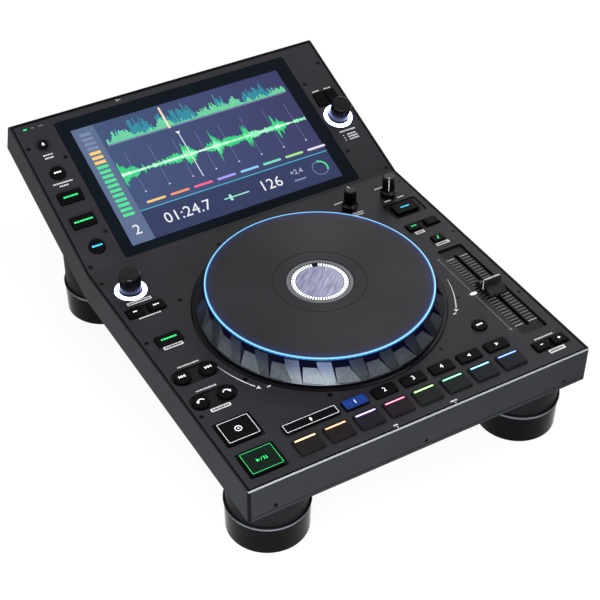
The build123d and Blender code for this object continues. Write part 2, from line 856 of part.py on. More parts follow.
def pocket_outline(radius, low):
    """A pocket's outline at a distance from the axis: the drafted walls open outwards."""
    spread = tan(radians(pocket_draft))
    at_top = (radius - rim_top_radius) * spread
    at_foot = (radius - rim_radius) * spread
    bend = notch_top_right + notch_right_run
    outline = [(notch_top_left - at_top, jog_height), (notch_low_left - at_foot, low)]
    outline += [(notch_low_right + at_foot, low), (bend + at_top, notch_height + 2)]
    outline += [(notch_top_right + at_top, jog_height)]
    return Pos(radius, 0, 0) * make_face(Plane.YZ * Polyline(*outline, close=True))


def jog_centre_display():
    """Round display that stays still on the spindle's end while the platter turns."""
    top = jog_height - centre_sink
    low = spindle_top()
    outline = [(0, low), (spindle_radius - 1, low), (centre_radius, low), (centre_radius, top - 0.5)]
    outline += [(centre_radius - 0.5, top), (centre_radius - 3.6, top), (centre_radius - 3.9, top - 0.3)]
    outline += [(0, top - 0.3)]
    return turned(outline)


def panel_screws():
    """Recessed hex screws: deck, slope and front."""
    head = cylinder(screw_head_radius, -screw_head_height, -0.1)
    hexagon = Pos(0, 0, -screw_hex_depth) * extrude(RegularPolygon(screw_hex, 6), 2)
    screw = head + cylinder(screw_shank_radius, -screw_length, -screw_head_height) - hexagon
    return [spot * screw for spot in screw_spots() + front_screw_spots()]


def light_rings():
    """Light guides round the two push encoders."""
    ring = cylinder(encoder_ring_outer, -encoder_ring_depth, encoder_ring_rise)
    ring -= cylinder(encoder_ring_inner, -encoder_ring_depth - 1, encoder_ring_rise + 1)
    return [face.location * Pos(x, y, 0) * ring for _, face, x, y in encoders]


def key_button(key):
    """Cap, retaining flange under the panel, and the stem that works the switch."""
    flange_top = -panel_thickness - key_flange_gap
    flange_low = flange_top - key_flange_thickness
    cap = Pos(0, 0, flange_low) * extrude(key.outline(0), key.rise - flange_low)
    cap = fillet(cap.edges().group_by(Axis.Z)[-1], key_edge)
    flange = Pos(0, 0, flange_low) * extrude(key.outline(key.lip), key_flange_thickness)
    stem = cylinder(key_stem_radius, key_stem_bottom, flange_low + 0.5)
    return key.place() * (cap + flange + stem)


def flutes(low_radius, top_radius, low, top, count, cut):
    """Upright grooves round a knob, each as deep as cut."""
    grooves = []
    for i in range(count):
        at_low = Pos(low_radius + cut * 0.6, 0, low) * Circle(cut * 1.6)
        at_top = Pos(top_radius + cut * 0.6, 0, top) * Circle(cut * 1.6)
        grooves.append(Rot(0, 0, i * 360 / count) * loft([at_low, at_top]))
    return grooves


def encoder_shaft(face, x, y):
    """Shaft that slides down when its knob is pushed."""
    return face.location * Pos(x, y, 0) * cylinder(encoder_shaft_radius, shaft_bottom, shaft_top)


def encoder_knob(face, x, y):
    """Turning knob with a blind bore over the shaft."""
    low = knob_lift + encoder_push
    top = encoder_knob_height
    outline = [(0, low), (encoder_knob_radius - 0.4, low), (encoder_knob_radius, low + 0.4)]
    outline += [(encoder_knob_top_radius, encoder_knob_shoulder), (encoder_knob_top_radius, top - 1.1)]
    outline += [(encoder_knob_top_radius - 0.4, top - 0.3), (encoder_knob_top_radius - 1.3, top), (0, top)]
    body = revolve(make_face(Plane.XZ * Polyline(*outline, close=True)), Axis.Z)
    ends = (low - 0.5, encoder_knob_shoulder)
    body -= flutes(encoder_knob_radius, encoder_knob_top_radius, *ends, knurl_count, knurl_depth)
    body -= cylinder(encoder_shaft_radius + shaft_clearance, low - 1, shaft_top + 0.3)
    return face.location * Pos(x, y, 0) * body


def pot_knob(x, heading):
    """Small fluted pointer knob, skirt and shaft in one piece, its pointer turned to a heading."""
    outline = [(0, knob_lift), (pot_skirt_radius - 0.4, knob_lift), (pot_skirt_radius, pot_skirt_wall)]
    outline += [(pot_radius + 0.4, pot_skirt_height), (pot_radius, pot_skirt_height + 1.0)]
    outline += [(pot_radius - 0.3, pot_height - 0.9), (pot_radius - 1.2, pot_height), (0, pot_height)]
    body = revolve(make_face(Plane.XZ * Polyline(*outline, close=True)), Axis.Z)
    ends = (pot_skirt_height + 1.6, pot_shoulder)
    grooves = flutes(pot_radius, pot_radius - 0.3, *ends, pot_flute_count, pot_flute_depth)
    body -= grooves[1:]
    body -= box_between((pot_radius - 1.2, -0.4, pot_skirt_height + 2), (pot_radius + 2, 0.4, pot_height + 1))
    body += cylinder(encoder_shaft_radius, shaft_bottom, knob_lift + 1)
    return deck.location * Pos(x, pot_y, 0) * Rot(0, 0, heading) * body


def fader_cap():
    """Slider cap with its high middle ridge, and the flat stem through the slot."""
    low = fader_cap_lift - fader_well_depth
    top = low + fader_cap_height
    half = fader_cap_length / 2
    ridge = fader_ridge_width / 2
    near = ridge + 1.2
    lobe = []
    for i in range(fader_lobe_steps + 1):
        turn = radians(90 * i / fader_lobe_steps)
        lobe.append((half - (half - near) * (1 - cos(turn)), low + fader_lobe_height * sin(turn)))
    outline = [(-y, z) for y, z in lobe] + [(-ridge, top), (ridge, top)] + lobe[::-1]
    cap = extrude(make_face(Plane.YZ * Polyline(*outline, close=True)), fader_cap_width / 2, both=True)
    sides = cap.edges().filter_by(Axis.Y).group_by(Axis.Z)[-1]
    cap = chamfer(sides, 0.6)
    stem = block(fader_stem_width, fader_stem_length, fader_stem_bottom, low + 1)
    return deck.location * Pos(fader_x, fader_y, 0) * (cap + stem)


def deck_board():
    """Control board under the deck with its switches, encoder, pots and fader."""
    near = front_band + board_margin
    far = deck_length - board_bend_room
    low = board_top - board_thickness
    middle = (near + far) / 2
    plate = Pos(0, middle, 0) * block(2 * board_half, far - near, low, board_top, 2.0)
    plate -= Pos(jog_x, jog_y, 0) * cylinder(jog_hole_radius + 2.5, low - 1, board_top + 1)
    plate += [Pos(key.x, key.y, 0) * switch() for key in keys if key.face is deck]
    plate += [Pos(x, y, 0) * shaft_body() for _, face, x, y in turning if face is deck]
    track = block(fader_body_width, fader_body_length, low, -panel_thickness - body_top_gap)
    carriage = 2 * fader_travel + fader_stem_length + 2.0
    track -= block(fader_slot_width, carriage, fader_stem_bottom - 0.5, 0)
    plate += Pos(fader_x, fader_y, 0) * track
    return deck.location * (plate - boss_cuts(deck_screws))


def screen_board():
    """Control board under the slope, behind the screen module."""
    low = board_top - board_thickness
    near = board_bend_room
    far = panel_end - panel_ledge - 2.0
    plate = Pos(0, (near + far) / 2, 0) * block(2 * board_half, far - near, low, board_top, 2.0)
    plate += [Pos(key.x, key.y, 0) * switch() for key in keys if key.face is screen]
    plate += [Pos(x, y, 0) * shaft_body() for _, face, x, y in turning if face is screen]
    return screen.location * (plate - boss_cuts(screen_screws))


def switch():
    """Block of one key switch, below the stem's lowest place."""
    top = key_stem_bottom - key_stroke - switch_gap
    return block(switch_size, switch_size, board_top - 0.5, top)


def shaft_body():
    """Body of an encoder or pot with the bore its shaft runs in."""
    body = block(body_size, body_size, board_top - 0.5, -panel_thickness - body_top_gap)
    return body - cylinder(encoder_shaft_radius + shaft_clearance, shaft_bottom - encoder_push - 0.4, 0)


def boss_cuts(places):
    """Room in a board for the case's screw bosses."""
    return [Pos(x, y, 0) * cylinder(boss_radius + boss_room, -20, 0) for x, y in places]


def main_board():
    """Main board on its posts above the case's floor."""
    floor = -inside_depth
    low = floor + main_board_lift
    plate = block(main_board_width, main_board_length, low, low + board_thickness)
    for x in (-1, 1):
        for y in (-1, 1):
            spot = Pos(x * (main_board_width / 2 - 6), y * (main_board_length / 2 - 6), 0)
            plate += spot * cylinder(post_radius, floor, low)
    plate += Pos(-20, 0, 0) * block(38, 38, low, low + board_thickness + 4.0)
    plate += Pos(45, 12, 0) * block(24, 24, low, low + board_thickness + 2.2)
    return deck.location * Pos(jog_x, jog_y, 0) * plate


def power_supply():
    """Power supply block on the rear housing's floor."""
    low = rear_box_bottom + shell_wall
    middle = (rear_box_front + wall_y - inlet_depth) / 2
    return Pos(0, middle, 0) * block(supply_width, supply_length, low, low + supply_height, 1.5)


def circuit_boards():
    """Everything electric inside the case."""
    return [deck_board(), screen_board(), main_board(), power_supply()]


def rear_socket(x, width, height, length, mouth_width, mouth_height, mouth_depth):
    """One rear socket: a block through the wall with a flange inside and an open mouth."""
    front = wall_y + socket_step
    z = socket_row_z
    body = box_between((x - width / 2, front - length, z - height / 2), (x + width / 2, front, z + height / 2))
    inside = wall_y - shell_wall
    body += box_between(
        (x - width / 2 - socket_flange, front - length, z - height / 2 - socket_flange),
        (x + width / 2 + socket_flange, inside, z + height / 2 + socket_flange),
    )
    mouth = box_between(
        (x - mouth_width / 2, front - mouth_depth, z - mouth_height / 2),
        (x + mouth_width / 2, front + 1, z + mouth_height / 2),
    )
    return body - mouth


def front_port(x, width, height, length, mouth_width, mouth_height, mouth_depth):
    """One front port in the pod, its mouth to the front."""
    z = under_height - pod_height / 2
    body = box_between((x - width / 2, pod_front, z - height / 2), (x + width / 2, pod_front + length, z + height / 2))
    mouth = box_between(
        (x - mouth_width / 2, pod_front - 1, z - mouth_height / 2),
        (x + mouth_width / 2, pod_front + mouth_depth, z + mouth_height / 2),
    )
    return body - mouth


def audio_jack(x):
    """Round audio socket with its nut outside the wall."""
    shape = cylinder(jack_radius, -jack_length, 10.0)
    shape += cylinder(jack_nut_radius, -jack_nut_height, 0)
    shape += cylinder(jack_nut_radius, shell_wall, 10.0)
    shape -= cylinder(jack_bore, -jack_length - 1, 4.0)
    return Pos(x, wall_y, socket_row_z) * rear_axis() * shape


def io_connectors():
    """Every socket: rear row and front pod."""
    parts = [
        rear_socket(
            inlet_x, inlet_width, inlet_height, inlet_depth, inlet_mouth_width, inlet_mouth_height, inlet_mouth_depth
        )
    ]
    parts.append(rear_socket(net_x, net_size, net_size, usb_depth + 2, net_mouth_width, net_mouth_height, usb_depth - 2))
    parts.append(
        rear_socket(usb_x, usb_width, usb_height, usb_depth, usb_mouth_width, usb_mouth_height, usb_mouth_depth)
    )
    parts += [audio_jack(x) for x in row(jack_first_x, jack_pitch, jack_count)]
    parts.append(
        front_port(front_usb_x, usb_width, usb_height, usb_depth, usb_mouth_width, usb_mouth_height, usb_mouth_depth)
    )
    parts.append(
        front_port(card_x, card_width, card_height, card_depth, card_mouth_width, card_mouth_height, card_depth - 2)
    )
    return parts


def power_button():
    """Rear push switch: cap through the wall, flange and stem inside."""
    inside = shell_wall + key_flange_gap
    cap = block(power_width, power_height, -power_rise, inside + key_flange_thickness, key_corner)
    wide = power_width + 2 * key_flange + 2 * key_gap
    tall = power_height + 2 * key_flange + 2 * key_gap
    flange = block(wide, tall, inside, inside + key_flange_thickness, key_corner)
    stem = cylinder(key_stem_radius, inside, inside + 6.0)
    return Pos(power_x, wall_y, socket_row_z) * rear_axis() * (cap + flange + stem)


def save(node, shape):
    """Write one node, centred on the part's origin under the middle of its box."""
    solids = shape if isinstance(shape, list) else [shape]
    flat = [solid for part in solids for solid in part.solids()]
    body = flat[0] if len(flat) == 1 else Compound(children=flat)
    export_step(body.moved(lift_out), f"parts/{node}.step")
    print(node, len(flat))


def main():
    os.makedirs("parts", exist_ok=True)
    save("lower_case", lower_case())
    save("top_panel", top_panel())
    save("foot_rings", foot_rings())
    save("foot_collars", foot_collars())
    save("touch_display", display())
    save("jog_base", jog_base())
    save("jog_platter", jog_platter())
    save("jog_light_ring", jog_light_ring())
    save("jog_rim", jog_rim())
    save("jog_centre_display", jog_centre_display())
    save("panel_screws", panel_screws())
    save("knob_light_rings", light_rings())
    save("circuit_boards", circuit_boards())
    save("io_connectors", io_connectors())
    save("power_button", power_button())
    for key in keys:
        save(key.node, key_button(key))
    for name, face, x, y in encoders:
        save(f"{name}_encoder_shaft", encoder_shaft(face, x, y))
        save(f"{name}_encoder_knob", encoder_knob(face, x, y))
    headings = (pot_middle_heading, pot_low_heading)
    for name, x, heading in zip(("stop_time_knob", "torque_knob"), pot_places, headings):
        save(name, pot_knob(x, heading))
    save("pitch_fader_cap", fader_cap())


main()
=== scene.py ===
# %% [markdown]
# A tabletop media player, dressed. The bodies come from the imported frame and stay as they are.
# This file gives them their finishes, prints their marks, lights their lamps and screens, and
# sets up a plain studio round them.

import json
import math
import random

import bmesh
import bpy
import numpy as np
from mathutils import Matrix, Vector

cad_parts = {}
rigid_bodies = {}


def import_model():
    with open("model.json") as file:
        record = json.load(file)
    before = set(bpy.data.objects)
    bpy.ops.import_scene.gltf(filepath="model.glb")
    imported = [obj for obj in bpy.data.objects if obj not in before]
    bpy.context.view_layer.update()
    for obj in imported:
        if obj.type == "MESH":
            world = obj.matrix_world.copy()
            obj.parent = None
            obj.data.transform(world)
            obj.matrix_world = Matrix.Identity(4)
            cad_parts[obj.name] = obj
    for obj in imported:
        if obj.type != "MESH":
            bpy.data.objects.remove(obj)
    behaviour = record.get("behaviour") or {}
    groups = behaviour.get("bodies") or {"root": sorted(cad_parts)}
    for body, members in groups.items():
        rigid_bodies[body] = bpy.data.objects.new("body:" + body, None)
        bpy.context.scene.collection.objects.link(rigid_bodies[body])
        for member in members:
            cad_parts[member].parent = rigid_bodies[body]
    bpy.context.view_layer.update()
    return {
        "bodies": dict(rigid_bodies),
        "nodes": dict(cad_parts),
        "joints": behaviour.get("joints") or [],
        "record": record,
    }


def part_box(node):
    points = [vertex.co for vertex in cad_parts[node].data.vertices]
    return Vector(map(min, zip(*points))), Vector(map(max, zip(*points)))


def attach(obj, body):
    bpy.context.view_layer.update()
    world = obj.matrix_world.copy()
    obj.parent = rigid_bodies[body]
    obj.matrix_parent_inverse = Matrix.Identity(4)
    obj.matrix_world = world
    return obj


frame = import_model()
nodes = frame["nodes"]
joints = {joint["name"]: joint for joint in frame["joints"]}
MM = 0.001
print("nodes:", len(nodes), "joints:", len(joints))

# %% [markdown]
# Every mark has to sit on the surface that carries it, so the two working faces are read from
# the frame: the level deck, and the slope with the screen. Marks are then drawn in millimetres
# right (u), up (v) and out (h) from a face's origin.

# %% The two working faces
class Face:
    """A flat face."""

    def __init__(self, origin, right, up):
        self.origin, self.right, self.up = Vector(origin), Vector(right), Vector(up)
        self.out = self.right.cross(self.up)

    def at(self, u, v, h=0.0):
        """A place on the face, in metres."""
        steps = float(u) * self.right + float(v) * self.up + float(h) * self.out
        return self.origin + MM * steps

    def local(self, points):
        """World points as rows of (u, v, h)."""
        basis = np.array([self.right, self.up, self.out]).T
        return (points - np.array(self.origin)) @ basis / MM


deck_z = joints["jog_turn"]["pos_m"][2]
front_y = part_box("lower_case")[0][1]
slope_spot = Vector(joints["select_turn"]["pos_m"])
slope_out = Vector(joints["select_turn"]["axis"]).normalized()
slope_up = Vector((0, slope_out.z, -slope_out.y))
bend_y = slope_spot.y - (slope_spot.z - deck_z) * slope_up.y / slope_up.z
deck = Face((0, front_y, deck_z), (1, 0, 0), (0, 1, 0))
slope = Face((0, bend_y, deck_z), (1, 0, 0), slope_up)
print("deck height mm:", round(deck_z / MM, 1))

# %% Measure a node on a face
def corners(node):
    """All the vertices of a CAD node, in metres."""
    mesh = nodes[node].data
    flat = np.empty(len(mesh.vertices) * 3)
    mesh.vertices.foreach_get("co", flat)
    world = np.array(nodes[node].matrix_world)
    return flat.reshape(-1, 3) @ world[:3, :3].T + world[:3, 3]


def cap_of(node, face, skin=1.0):
    """Middle, width, length and top of what stands highest on a node, in face millimetres."""
    local = face.local(corners(node))
    top = local[:, 2].max()
    high = local[local[:, 2] > top - skin]
    low, far = high.min(axis=0), high.max(axis=0)
    middle = (low + far) / 2
    return middle[0], middle[1], far[0] - low[0], far[1] - low[1], top


play = cap_of("play_button", deck)
print("play key cap mm:", np.round(play, 1))

# %% [markdown]
# The camera comes before the looks.
# A long lens far away keeps the edges of the case nearly parallel, as product shots do.

# %% Camera
camera_place = Vector((-0.49606, -0.87353, 0.88407))
camera_aim = Vector((0.38938, 0.65795, -0.64458))
camera_roll = math.radians(0.573)
camera_lens, camera_sensor = 87.16, 36.0  # mm


def put(name, data):
    """An object of some data, linked to the scene."""
    thing = bpy.data.objects.new(name, data)
    bpy.context.scene.collection.objects.link(thing)
    return thing


camera = put("camera", bpy.data.cameras.new("camera"))
level_right = camera_aim.cross(Vector((0, 0, 1))).normalized()
level_up = level_right.cross(camera_aim)
camera_right = level_right * math.cos(camera_roll) + level_up * math.sin(camera_roll)
camera_up = camera_right.cross(camera_aim)
camera_turn = Matrix((camera_right, camera_up, -camera_aim)).transposed().to_4x4()
camera.matrix_world = Matrix.Translation(camera_place) @ camera_turn
camera.data.lens = camera_lens
camera.data.sensor_width = camera_sensor
camera.data.clip_start = 50 * MM
bpy.context.scene.camera = camera
print("camera is", round(camera_place.length, 2), "m from the player")

# %% [markdown]
# Colours are written as the hex values that a screen shows, and one function turns them into
# the linear light that a renderer works in. Another adds a node, such as "Math MULTIPLY", sets
# and links its inputs and gives an output. Every finish below is built with the two.

# %% Colour and nodes
def linear(hex_colour):
    """An sRGB hex colour as linear RGBA."""
    parts = [int(hex_colour[i : i + 2], 16) / 255 for i in (1, 3, 5)]
    light = [c / 12.92 if c <= 0.04045 else ((c + 0.055) / 1.055) ** 2.4 for c in parts]
    return (*light, 1.0)


def add(tree, kind, *inputs, output=None, **named):
    """Adds a node: inputs in order or as Capital_Names, settings in small letters."""
    kind, *operation = kind.split()
    node = tree.nodes.new("ShaderNode" + kind)
    values = dict(enumerate(inputs))
    if operation:
        node.operation = operation[0]
    for name, value in named.items():
        if name.islower():
            setattr(node, name, value)
        else:
            values[name.replace("_", " ")] = value
    for name, value in values.items():
        if isinstance(value, bpy.types.NodeSocket):
            tree.links.new(value, node.inputs[name])
        else:
            node.inputs[name].default_value = value
    in_use = [socket for socket in node.outputs if socket.enabled]
    return node.outputs[output] if output else in_use[0] if in_use else None


print("mid grey in linear light:", round(linear("#808080")[0], 3))

# %% [markdown]
# A finish is a base colour with thinner layers over it, a grain that makes it uneven, and a
# shader that the grain may also bump. Coordinates count in metres, so a grain's size is real.

# %% Parts of a finish
def start(name):
    """A material with an empty node tree, and its coordinates."""
    material = bpy.data.materials.new(name)
    material.use_nodes = True
    material.node_tree.nodes.clear()
    return material, material.node_tree, add(material.node_tree, "TexCoord", output="Object")


def grain(tree, place, size_mm, detail=3.0):
    """Noise whose blotches are about this big."""
    return add(tree, "TexNoise", Vector=place, Scale=1 / (size_mm * MM), Detail=detail)


def between(tree, value, low, high, first=0.3, last=0.7):
    """Runs from low to high while a value runs from first to last."""
    return add(tree, "MapRange", value, first, last, low, high)


def layered(tree, colour, *layers):
    """A colour with others laid over it. Each layer is a mask from 0 to 1 and a hex colour."""
    for mask, hex_colour in layers:
        above = linear(hex_colour)
        colour = add(tree, "Mix", Factor=mask, A=colour, B=above, data_type="RGBA")
    return colour


def mottled(tree, noise, low_hex, high_hex):
    """Clouds of one hex colour in another."""
    return layered(tree, linear(low_hex), (between(tree, noise, 0.0, 1.0), high_hex))


def shade(material, colour, rough, height=None, bump_mm=0.0, strength=0.6, **named):
    """Ends a material with its shader, bumped by a height if one is given."""
    tree = material.node_tree
    if height is not None:
        named["Normal"] = add(tree, "Bump", Height=height, Distance=bump_mm * MM, Strength=strength)
    surface = add(tree, "BsdfPrincipled", Base_Color=colour, Roughness=rough, **named)
    add(tree, "OutputMaterial", surface)
    return material


print("scale of a grain of 1 mm:", round(1 / MM))

# %% Where a point lies and where it faces
def facing(tree, way, least):
    """1 where the surface faces a direction closely enough."""
    normal, way = add(tree, "TexCoord", output="Normal"), Vector(way).normalized()
    along = add(tree, "VectorMath DOT_PRODUCT", normal, way)
    return add(tree, "Math GREATER_THAN", along, least)


def height_over(tree, place, face):
    """Height of a point over a face, in metres."""
    away = add(tree, "VectorMath SUBTRACT", place, face.origin)
    return add(tree, "VectorMath DOT_PRODUCT", away, face.out)


def lowest_height(tree, place):
    """Height over the deck or over the slope, whichever is less."""
    heights = [height_over(tree, place, face) for face in (deck, slope)]
    return add(tree, "Math MINIMUM", *heights)


print("slope faces:", np.round(slope.out, 2))

# %% [markdown]
# Most of the case is plastic or coated metal: the mould or the powder leaves tiny bumps, about
# 0.3 mm apart, that break up the reflection, so the surface looks matt but lively. They are
# drawn two to three times as far apart, because finer ones would vanish in a picture.

# %% Textured blacks
# Painted shade on corners and bevels that turn away from the light; the case's lowest band is this
# dark too.
SHADED_EDGE_BLACK = "#0f0f11"  # bevels that turn away from the light


def textured(name, low_hex, high_hex, bump_mm, size_mm, rough, specular=0.2, painted=None):
    """A moulded or powder-coated surface. painted lays further colours over it."""
    material, tree, place = start(name)
    fine = grain(tree, place, size_mm)
    colour = mottled(tree, grain(tree, place, 60.0, 2.0), low_hex, high_hex)
    if painted:
        colour = painted(tree, place, colour)
    rough = between(tree, fine, rough - 0.05, rough + 0.05)
    return shade(material, colour, rough, fine, bump_mm, Specular_IOR_Level=specular)


def painted_pocket_shade(tree, place, colour):
    """Painted shade in the pockets that keys stand in, which get little light."""
    # painted shade: sunk pockets below the deck or slope are coloured near black
    sunk = add(tree, "Math LESS_THAN", lowest_height(tree, place), -0.5 * MM)
    return layered(tree, colour, (sunk, "#0b0b0d"))


def case_shade_and_highlight(tree, place, colour):
    """Painted shade at the panel's joint and shaded corners, a dark lowest band, a painted front
    highlight.
    """
    low_corner, high_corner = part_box("lower_case")
    across = add(tree, "SeparateXYZ", place, output="X")
    across = add(tree, "Math ABSOLUTE", across)
    inner = add(tree, "Math LESS_THAN", across, high_corner[0] - 1.3 * MM)
    # painted shadow: the up-facing ledge beside the panel is darkened as the gap of a joint
    joint = add(tree, "Math MULTIPLY", facing(tree, (0, 0, 1), 0.9), inner)
    colour = layered(tree, colour, (joint, "#0c0c0e"))
    # painted shade on the front corners and the lower front bevel, which turn away from the light
    for way in ((-1, -1, 0), (1, -1, 0), (0, -1, -1)):
        colour = layered(tree, colour, (facing(tree, way, 0.8), SHADED_EDGE_BLACK))
    rise = height_over(tree, place, deck)
    # the lowest band of the case gets the same dark colour
    lowest_band = add(tree, "Math LESS_THAN", rise, low_corner[2] - deck_z + 2.2 * MM)
    high = add(tree, "Math GREATER_THAN", rise, -1.0 * MM)
    # painted highlight: a bright line along the bevel between the front and the top
    bevel_highlight = add(tree, "Math MULTIPLY", facing(tree, (0, -1, 1), 0.97), high)
    return layered(tree, colour, (lowest_band, SHADED_EDGE_BLACK), (bevel_highlight, "#8e9298"))


powder_coat = textured(
    "powder_coated_steel_panel", "#252428", "#2a292e", 0.03, 0.9, 0.42, 0.1, painted_pocket_shade
)
case_abs = textured("moulded_abs_case", "#27282b", "#2b2c2f", 0.04, 1.1, 0.5, 0.02, case_shade_and_highlight)
collar_abs = textured("moulded_abs_collar", "#131315", "#171719", 0.03, 0.9, 0.5, 0.04)
key_abs = textured("satin_abs_key", "#060608", "#0a0a0c", 0.01, 0.7, 0.36, 0.03)
fader_abs = textured("satin_abs_fader_cap", "#131316", "#18181b", 0.01, 0.7, 0.24, 0.2)
socket_nylon = textured("moulded_nylon_socket", "#151516", "#1a1a1b", 0.02, 0.8, 0.5)
print("textured blacks:", powder_coat.name, case_abs.name, collar_abs.name)

# %% [markdown]
# The pads are cast silicone rubber. It has no grain, but dust and skin oil show on it as faint
# clouds, and its gloss is uneven for the same reason. It also lets a little of each pad's lamp
# through, so every pad is faintly tinted.

# %% Silicone rubber
def silicone_pad(name, lamp_hex):
    """Cast black silicone rubber with clouds of handling and a trace of its lamp's light."""
    material, tree, place = start(name)
    clouds = grain(tree, place, 7.0, 4.0)
    colour = mottled(tree, clouds, "#0f0f12", "#16161a")
    glow = {"Emission_Color": linear(lamp_hex), "Emission_Strength": 0.005}
    rough, fine = between(tree, clouds, 0.34, 0.46), grain(tree, place, 0.6)
    return shade(material, colour, rough, fine, 0.01, 0.4, Specular_IOR_Level=0.06, **glow)


pad_hues = ["#ffc46a", "#ff8a4a", "#b48cff", "#e8386e", "#7ce650", "#28dc80", "#2cb8d8", "#2f6cff"]
silicone = [silicone_pad(f"cast_silicone_pad_{i + 1}", hue) for i, hue in enumerate(pad_hues)]
print("pads of silicone:", len(silicone))

# %% [markdown]
# Gloss black parts are polished ABS: the foot rings, the ring round the wheel and the knobs.
# They mirror the studio, and they look real because the mirror isn't perfect: fine smears
# change the roughness a little. The cover glass is black because it is printed from behind.

# %% Polished blacks
FOOT_BLACK = "#030304"


def polished(name, hex_colour, rough, smear_mm, specular, painted=None):
    """A polished black surface with faint smears. painted lays further colours over it."""
    material, tree, place = start(name)
    colour = linear(hex_colour)
    if painted:
        colour = painted(tree, colour)
    rough = between(tree, grain(tree, place, smear_mm, 5.0), rough * 0.7, rough * 1.35)
    ripple = grain(tree, place, 30.0, 1.0)
    return shade(material, colour, rough, ripple, 0.05, 0.3, Specular_IOR_Level=specular)


def painted_chamfer_highlight(tree, colour):
    """A painted highlight on the chamfer round a foot ring's upper edge, under a black flat."""
    chamfer, flat = facing(tree, (0, 0, 1), 0.4), facing(tree, (0, 0, 1), 0.95)
    # painted highlight: light grey on the chamfer, black again on the flat top
    return layered(tree, colour, (chamfer, "#62686e"), (flat, FOOT_BLACK))


foot_gloss = polished("polished_abs_foot", FOOT_BLACK, 0.1, 9.0, 0.06, painted_chamfer_highlight)
base_gloss = polished("polished_abs_wheel_base", "#060609", 0.2, 9.0, 0.08)
knob_gloss = polished("polished_abs_knob", "#08080a", 0.2, 5.0, 0.14)
glass_black = polished("printed_cover_glass", "#0d141b", 0.08, 40.0, 0.03)
print("polished blacks:", foot_gloss.name, base_gloss.name, knob_gloss.name)

# %% [markdown]
# The platter is aluminium, spun on a lathe, anodised dark and left satin. The lathe's fine
# rings stretch every highlight across them, so the disc shows soft fans of light. Anisotropy
# with a tangent that runs round the axis gives those fans. The rings are drawn 0.9 mm apart,
# coarser than the real ones.

# %% Spun anodised aluminium
jog = Vector(joints["jog_turn"]["pos_m"])


def about_wheel(tree, place):
    """Coordinates that count from the wheel's axis at deck height."""
    return add(tree, "VectorMath SUBTRACT", place, jog)


def radius_of(tree, centred):
    """Distance from the wheel's axis, in metres."""
    flat = add(tree, "VectorMath MULTIPLY", centred, (1, 1, 0))
    return add(tree, "VectorMath LENGTH", flat)


def wheel_radii(node):
    """Distances of a node's vertices from the wheel's axis, in metres."""
    return np.hypot(*(corners(node)[:, :2] - np.array(jog)[:2]).T)


PLATTER_RADIUS = float(wheel_radii("jog_platter").max())
# The light ring's blue glow is painted onto the platter, this far in from its edge.
RING_GLOW_REACH = 6.0 * MM  # how far in the light ring tints the platter


def spun_aluminium():
    """Dark aluminium with lathe rings, with the light ring's blue glow painted on near its rim."""
    material, tree, place = start("spun_anodised_aluminium_platter")
    radius = radius_of(tree, about_wheel(tree, place))
    rings = add(tree, "TexNoise", W=radius, Scale=1 / (0.9 * MM), noise_dimensions="1D")
    edge = between(tree, radius, 0.0, 1.0, PLATTER_RADIUS - RING_GLOW_REACH, PLATTER_RADIUS)
    colour = mottled(tree, grain(tree, place, 45.0, 2.0), "#242428", "#28282c")
    # painted glow of the light ring along the platter's edge
    colour = layered(tree, colour, (edge, "#26294a"))
    metal = {"Metallic": 0.35, "Specular_IOR_Level": 0.15, "Anisotropic": 0.75}
    metal["Tangent"] = add(tree, "Tangent", direction_type="RADIAL", axis="Z")
    return shade(material, colour, between(tree, rings, 0.4, 0.46), rings, 0.004, 0.5, **metal)


platter_metal = spun_aluminium()
print("platter radius mm:", round(PLATTER_RADIUS / MM, 2))

# %% [markdown]
# The finger rim is cast metal with a gunmetal plating, smooth but grainy close up. Shade is
# painted on it in a deep blue-black, tinted by the light ring: on the notches just under the
# ring, where a point is high and close to the axis, and where the surface doesn't face outwards.
# Towards the top the plating is painted darker and bluer, as shade tinted by the ring.

# %% Plated cast rim
NOTCH_RADIUS, NOTCH_HEIGHT = 98.35 * MM, 14.9 * MM  # where the notches' walls begin


def wall_shade_mask(tree, centred, height):
    """1 where painted shade goes: the notches' walls and every wall that doesn't face outwards."""
    near = add(tree, "Math LESS_THAN", radius_of(tree, centred), NOTCH_RADIUS)
    high = add(tree, "Math GREATER_THAN", height, NOTCH_HEIGHT)
    notch = add(tree, "Math MULTIPLY", near, high)
    outward = add(tree, "VectorMath NORMALIZE", centred)
    normal = add(tree, "TexCoord", output="Normal")
    along = add(tree, "VectorMath DOT_PRODUCT", outward, normal)
    walls = add(tree, "Math LESS_THAN", along, 0.8)
    return add(tree, "Math MAXIMUM", notch, walls)


def plated_rim():
    """Gunmetal plating with painted shade: darker and bluer towards the top, blue-black on the
    walls.
    """
    material, tree, place = start("gunmetal_plated_rim")
    centred = about_wheel(tree, place)
    height = add(tree, "SeparateXYZ", centred, output="Z")
    # painted shade, tinted blue by the light ring, on the notches and the walls
    painted = wall_shade_mask(tree, centred, height)
    brushed = add(tree, "Mapping", Vector=centred, Scale=(1.0, 1.0, 6.0))
    fine = grain(tree, brushed, 2.4, 5.0)
    glints = between(tree, fine, 0.0, 0.35)
    # painted shade tinted blue by the light ring, stronger towards the top
    rise = between(tree, height, 0.0, 1.0, 9.0 * MM, 19.0 * MM)
    plating = mottled(tree, grain(tree, place, 14.0), "#2d3135", "#3b4045")
    colour = layered(tree, plating, (glints, "#6a7076"), (rise, "#2a3040"), (painted, "#040416"))
    metal = {"Metallic": add(tree, "Math SUBTRACT", 1.0, painted)}
    rough = between(tree, fine, 0.26, 0.42)
    return shade(material, colour, rough, fine, 0.08, Specular_IOR_Level=0.08, **metal)


rim_metal = plated_rim()
print("rim radius mm:", round(float(wheel_radii("jog_rim").max()) / MM, 2))

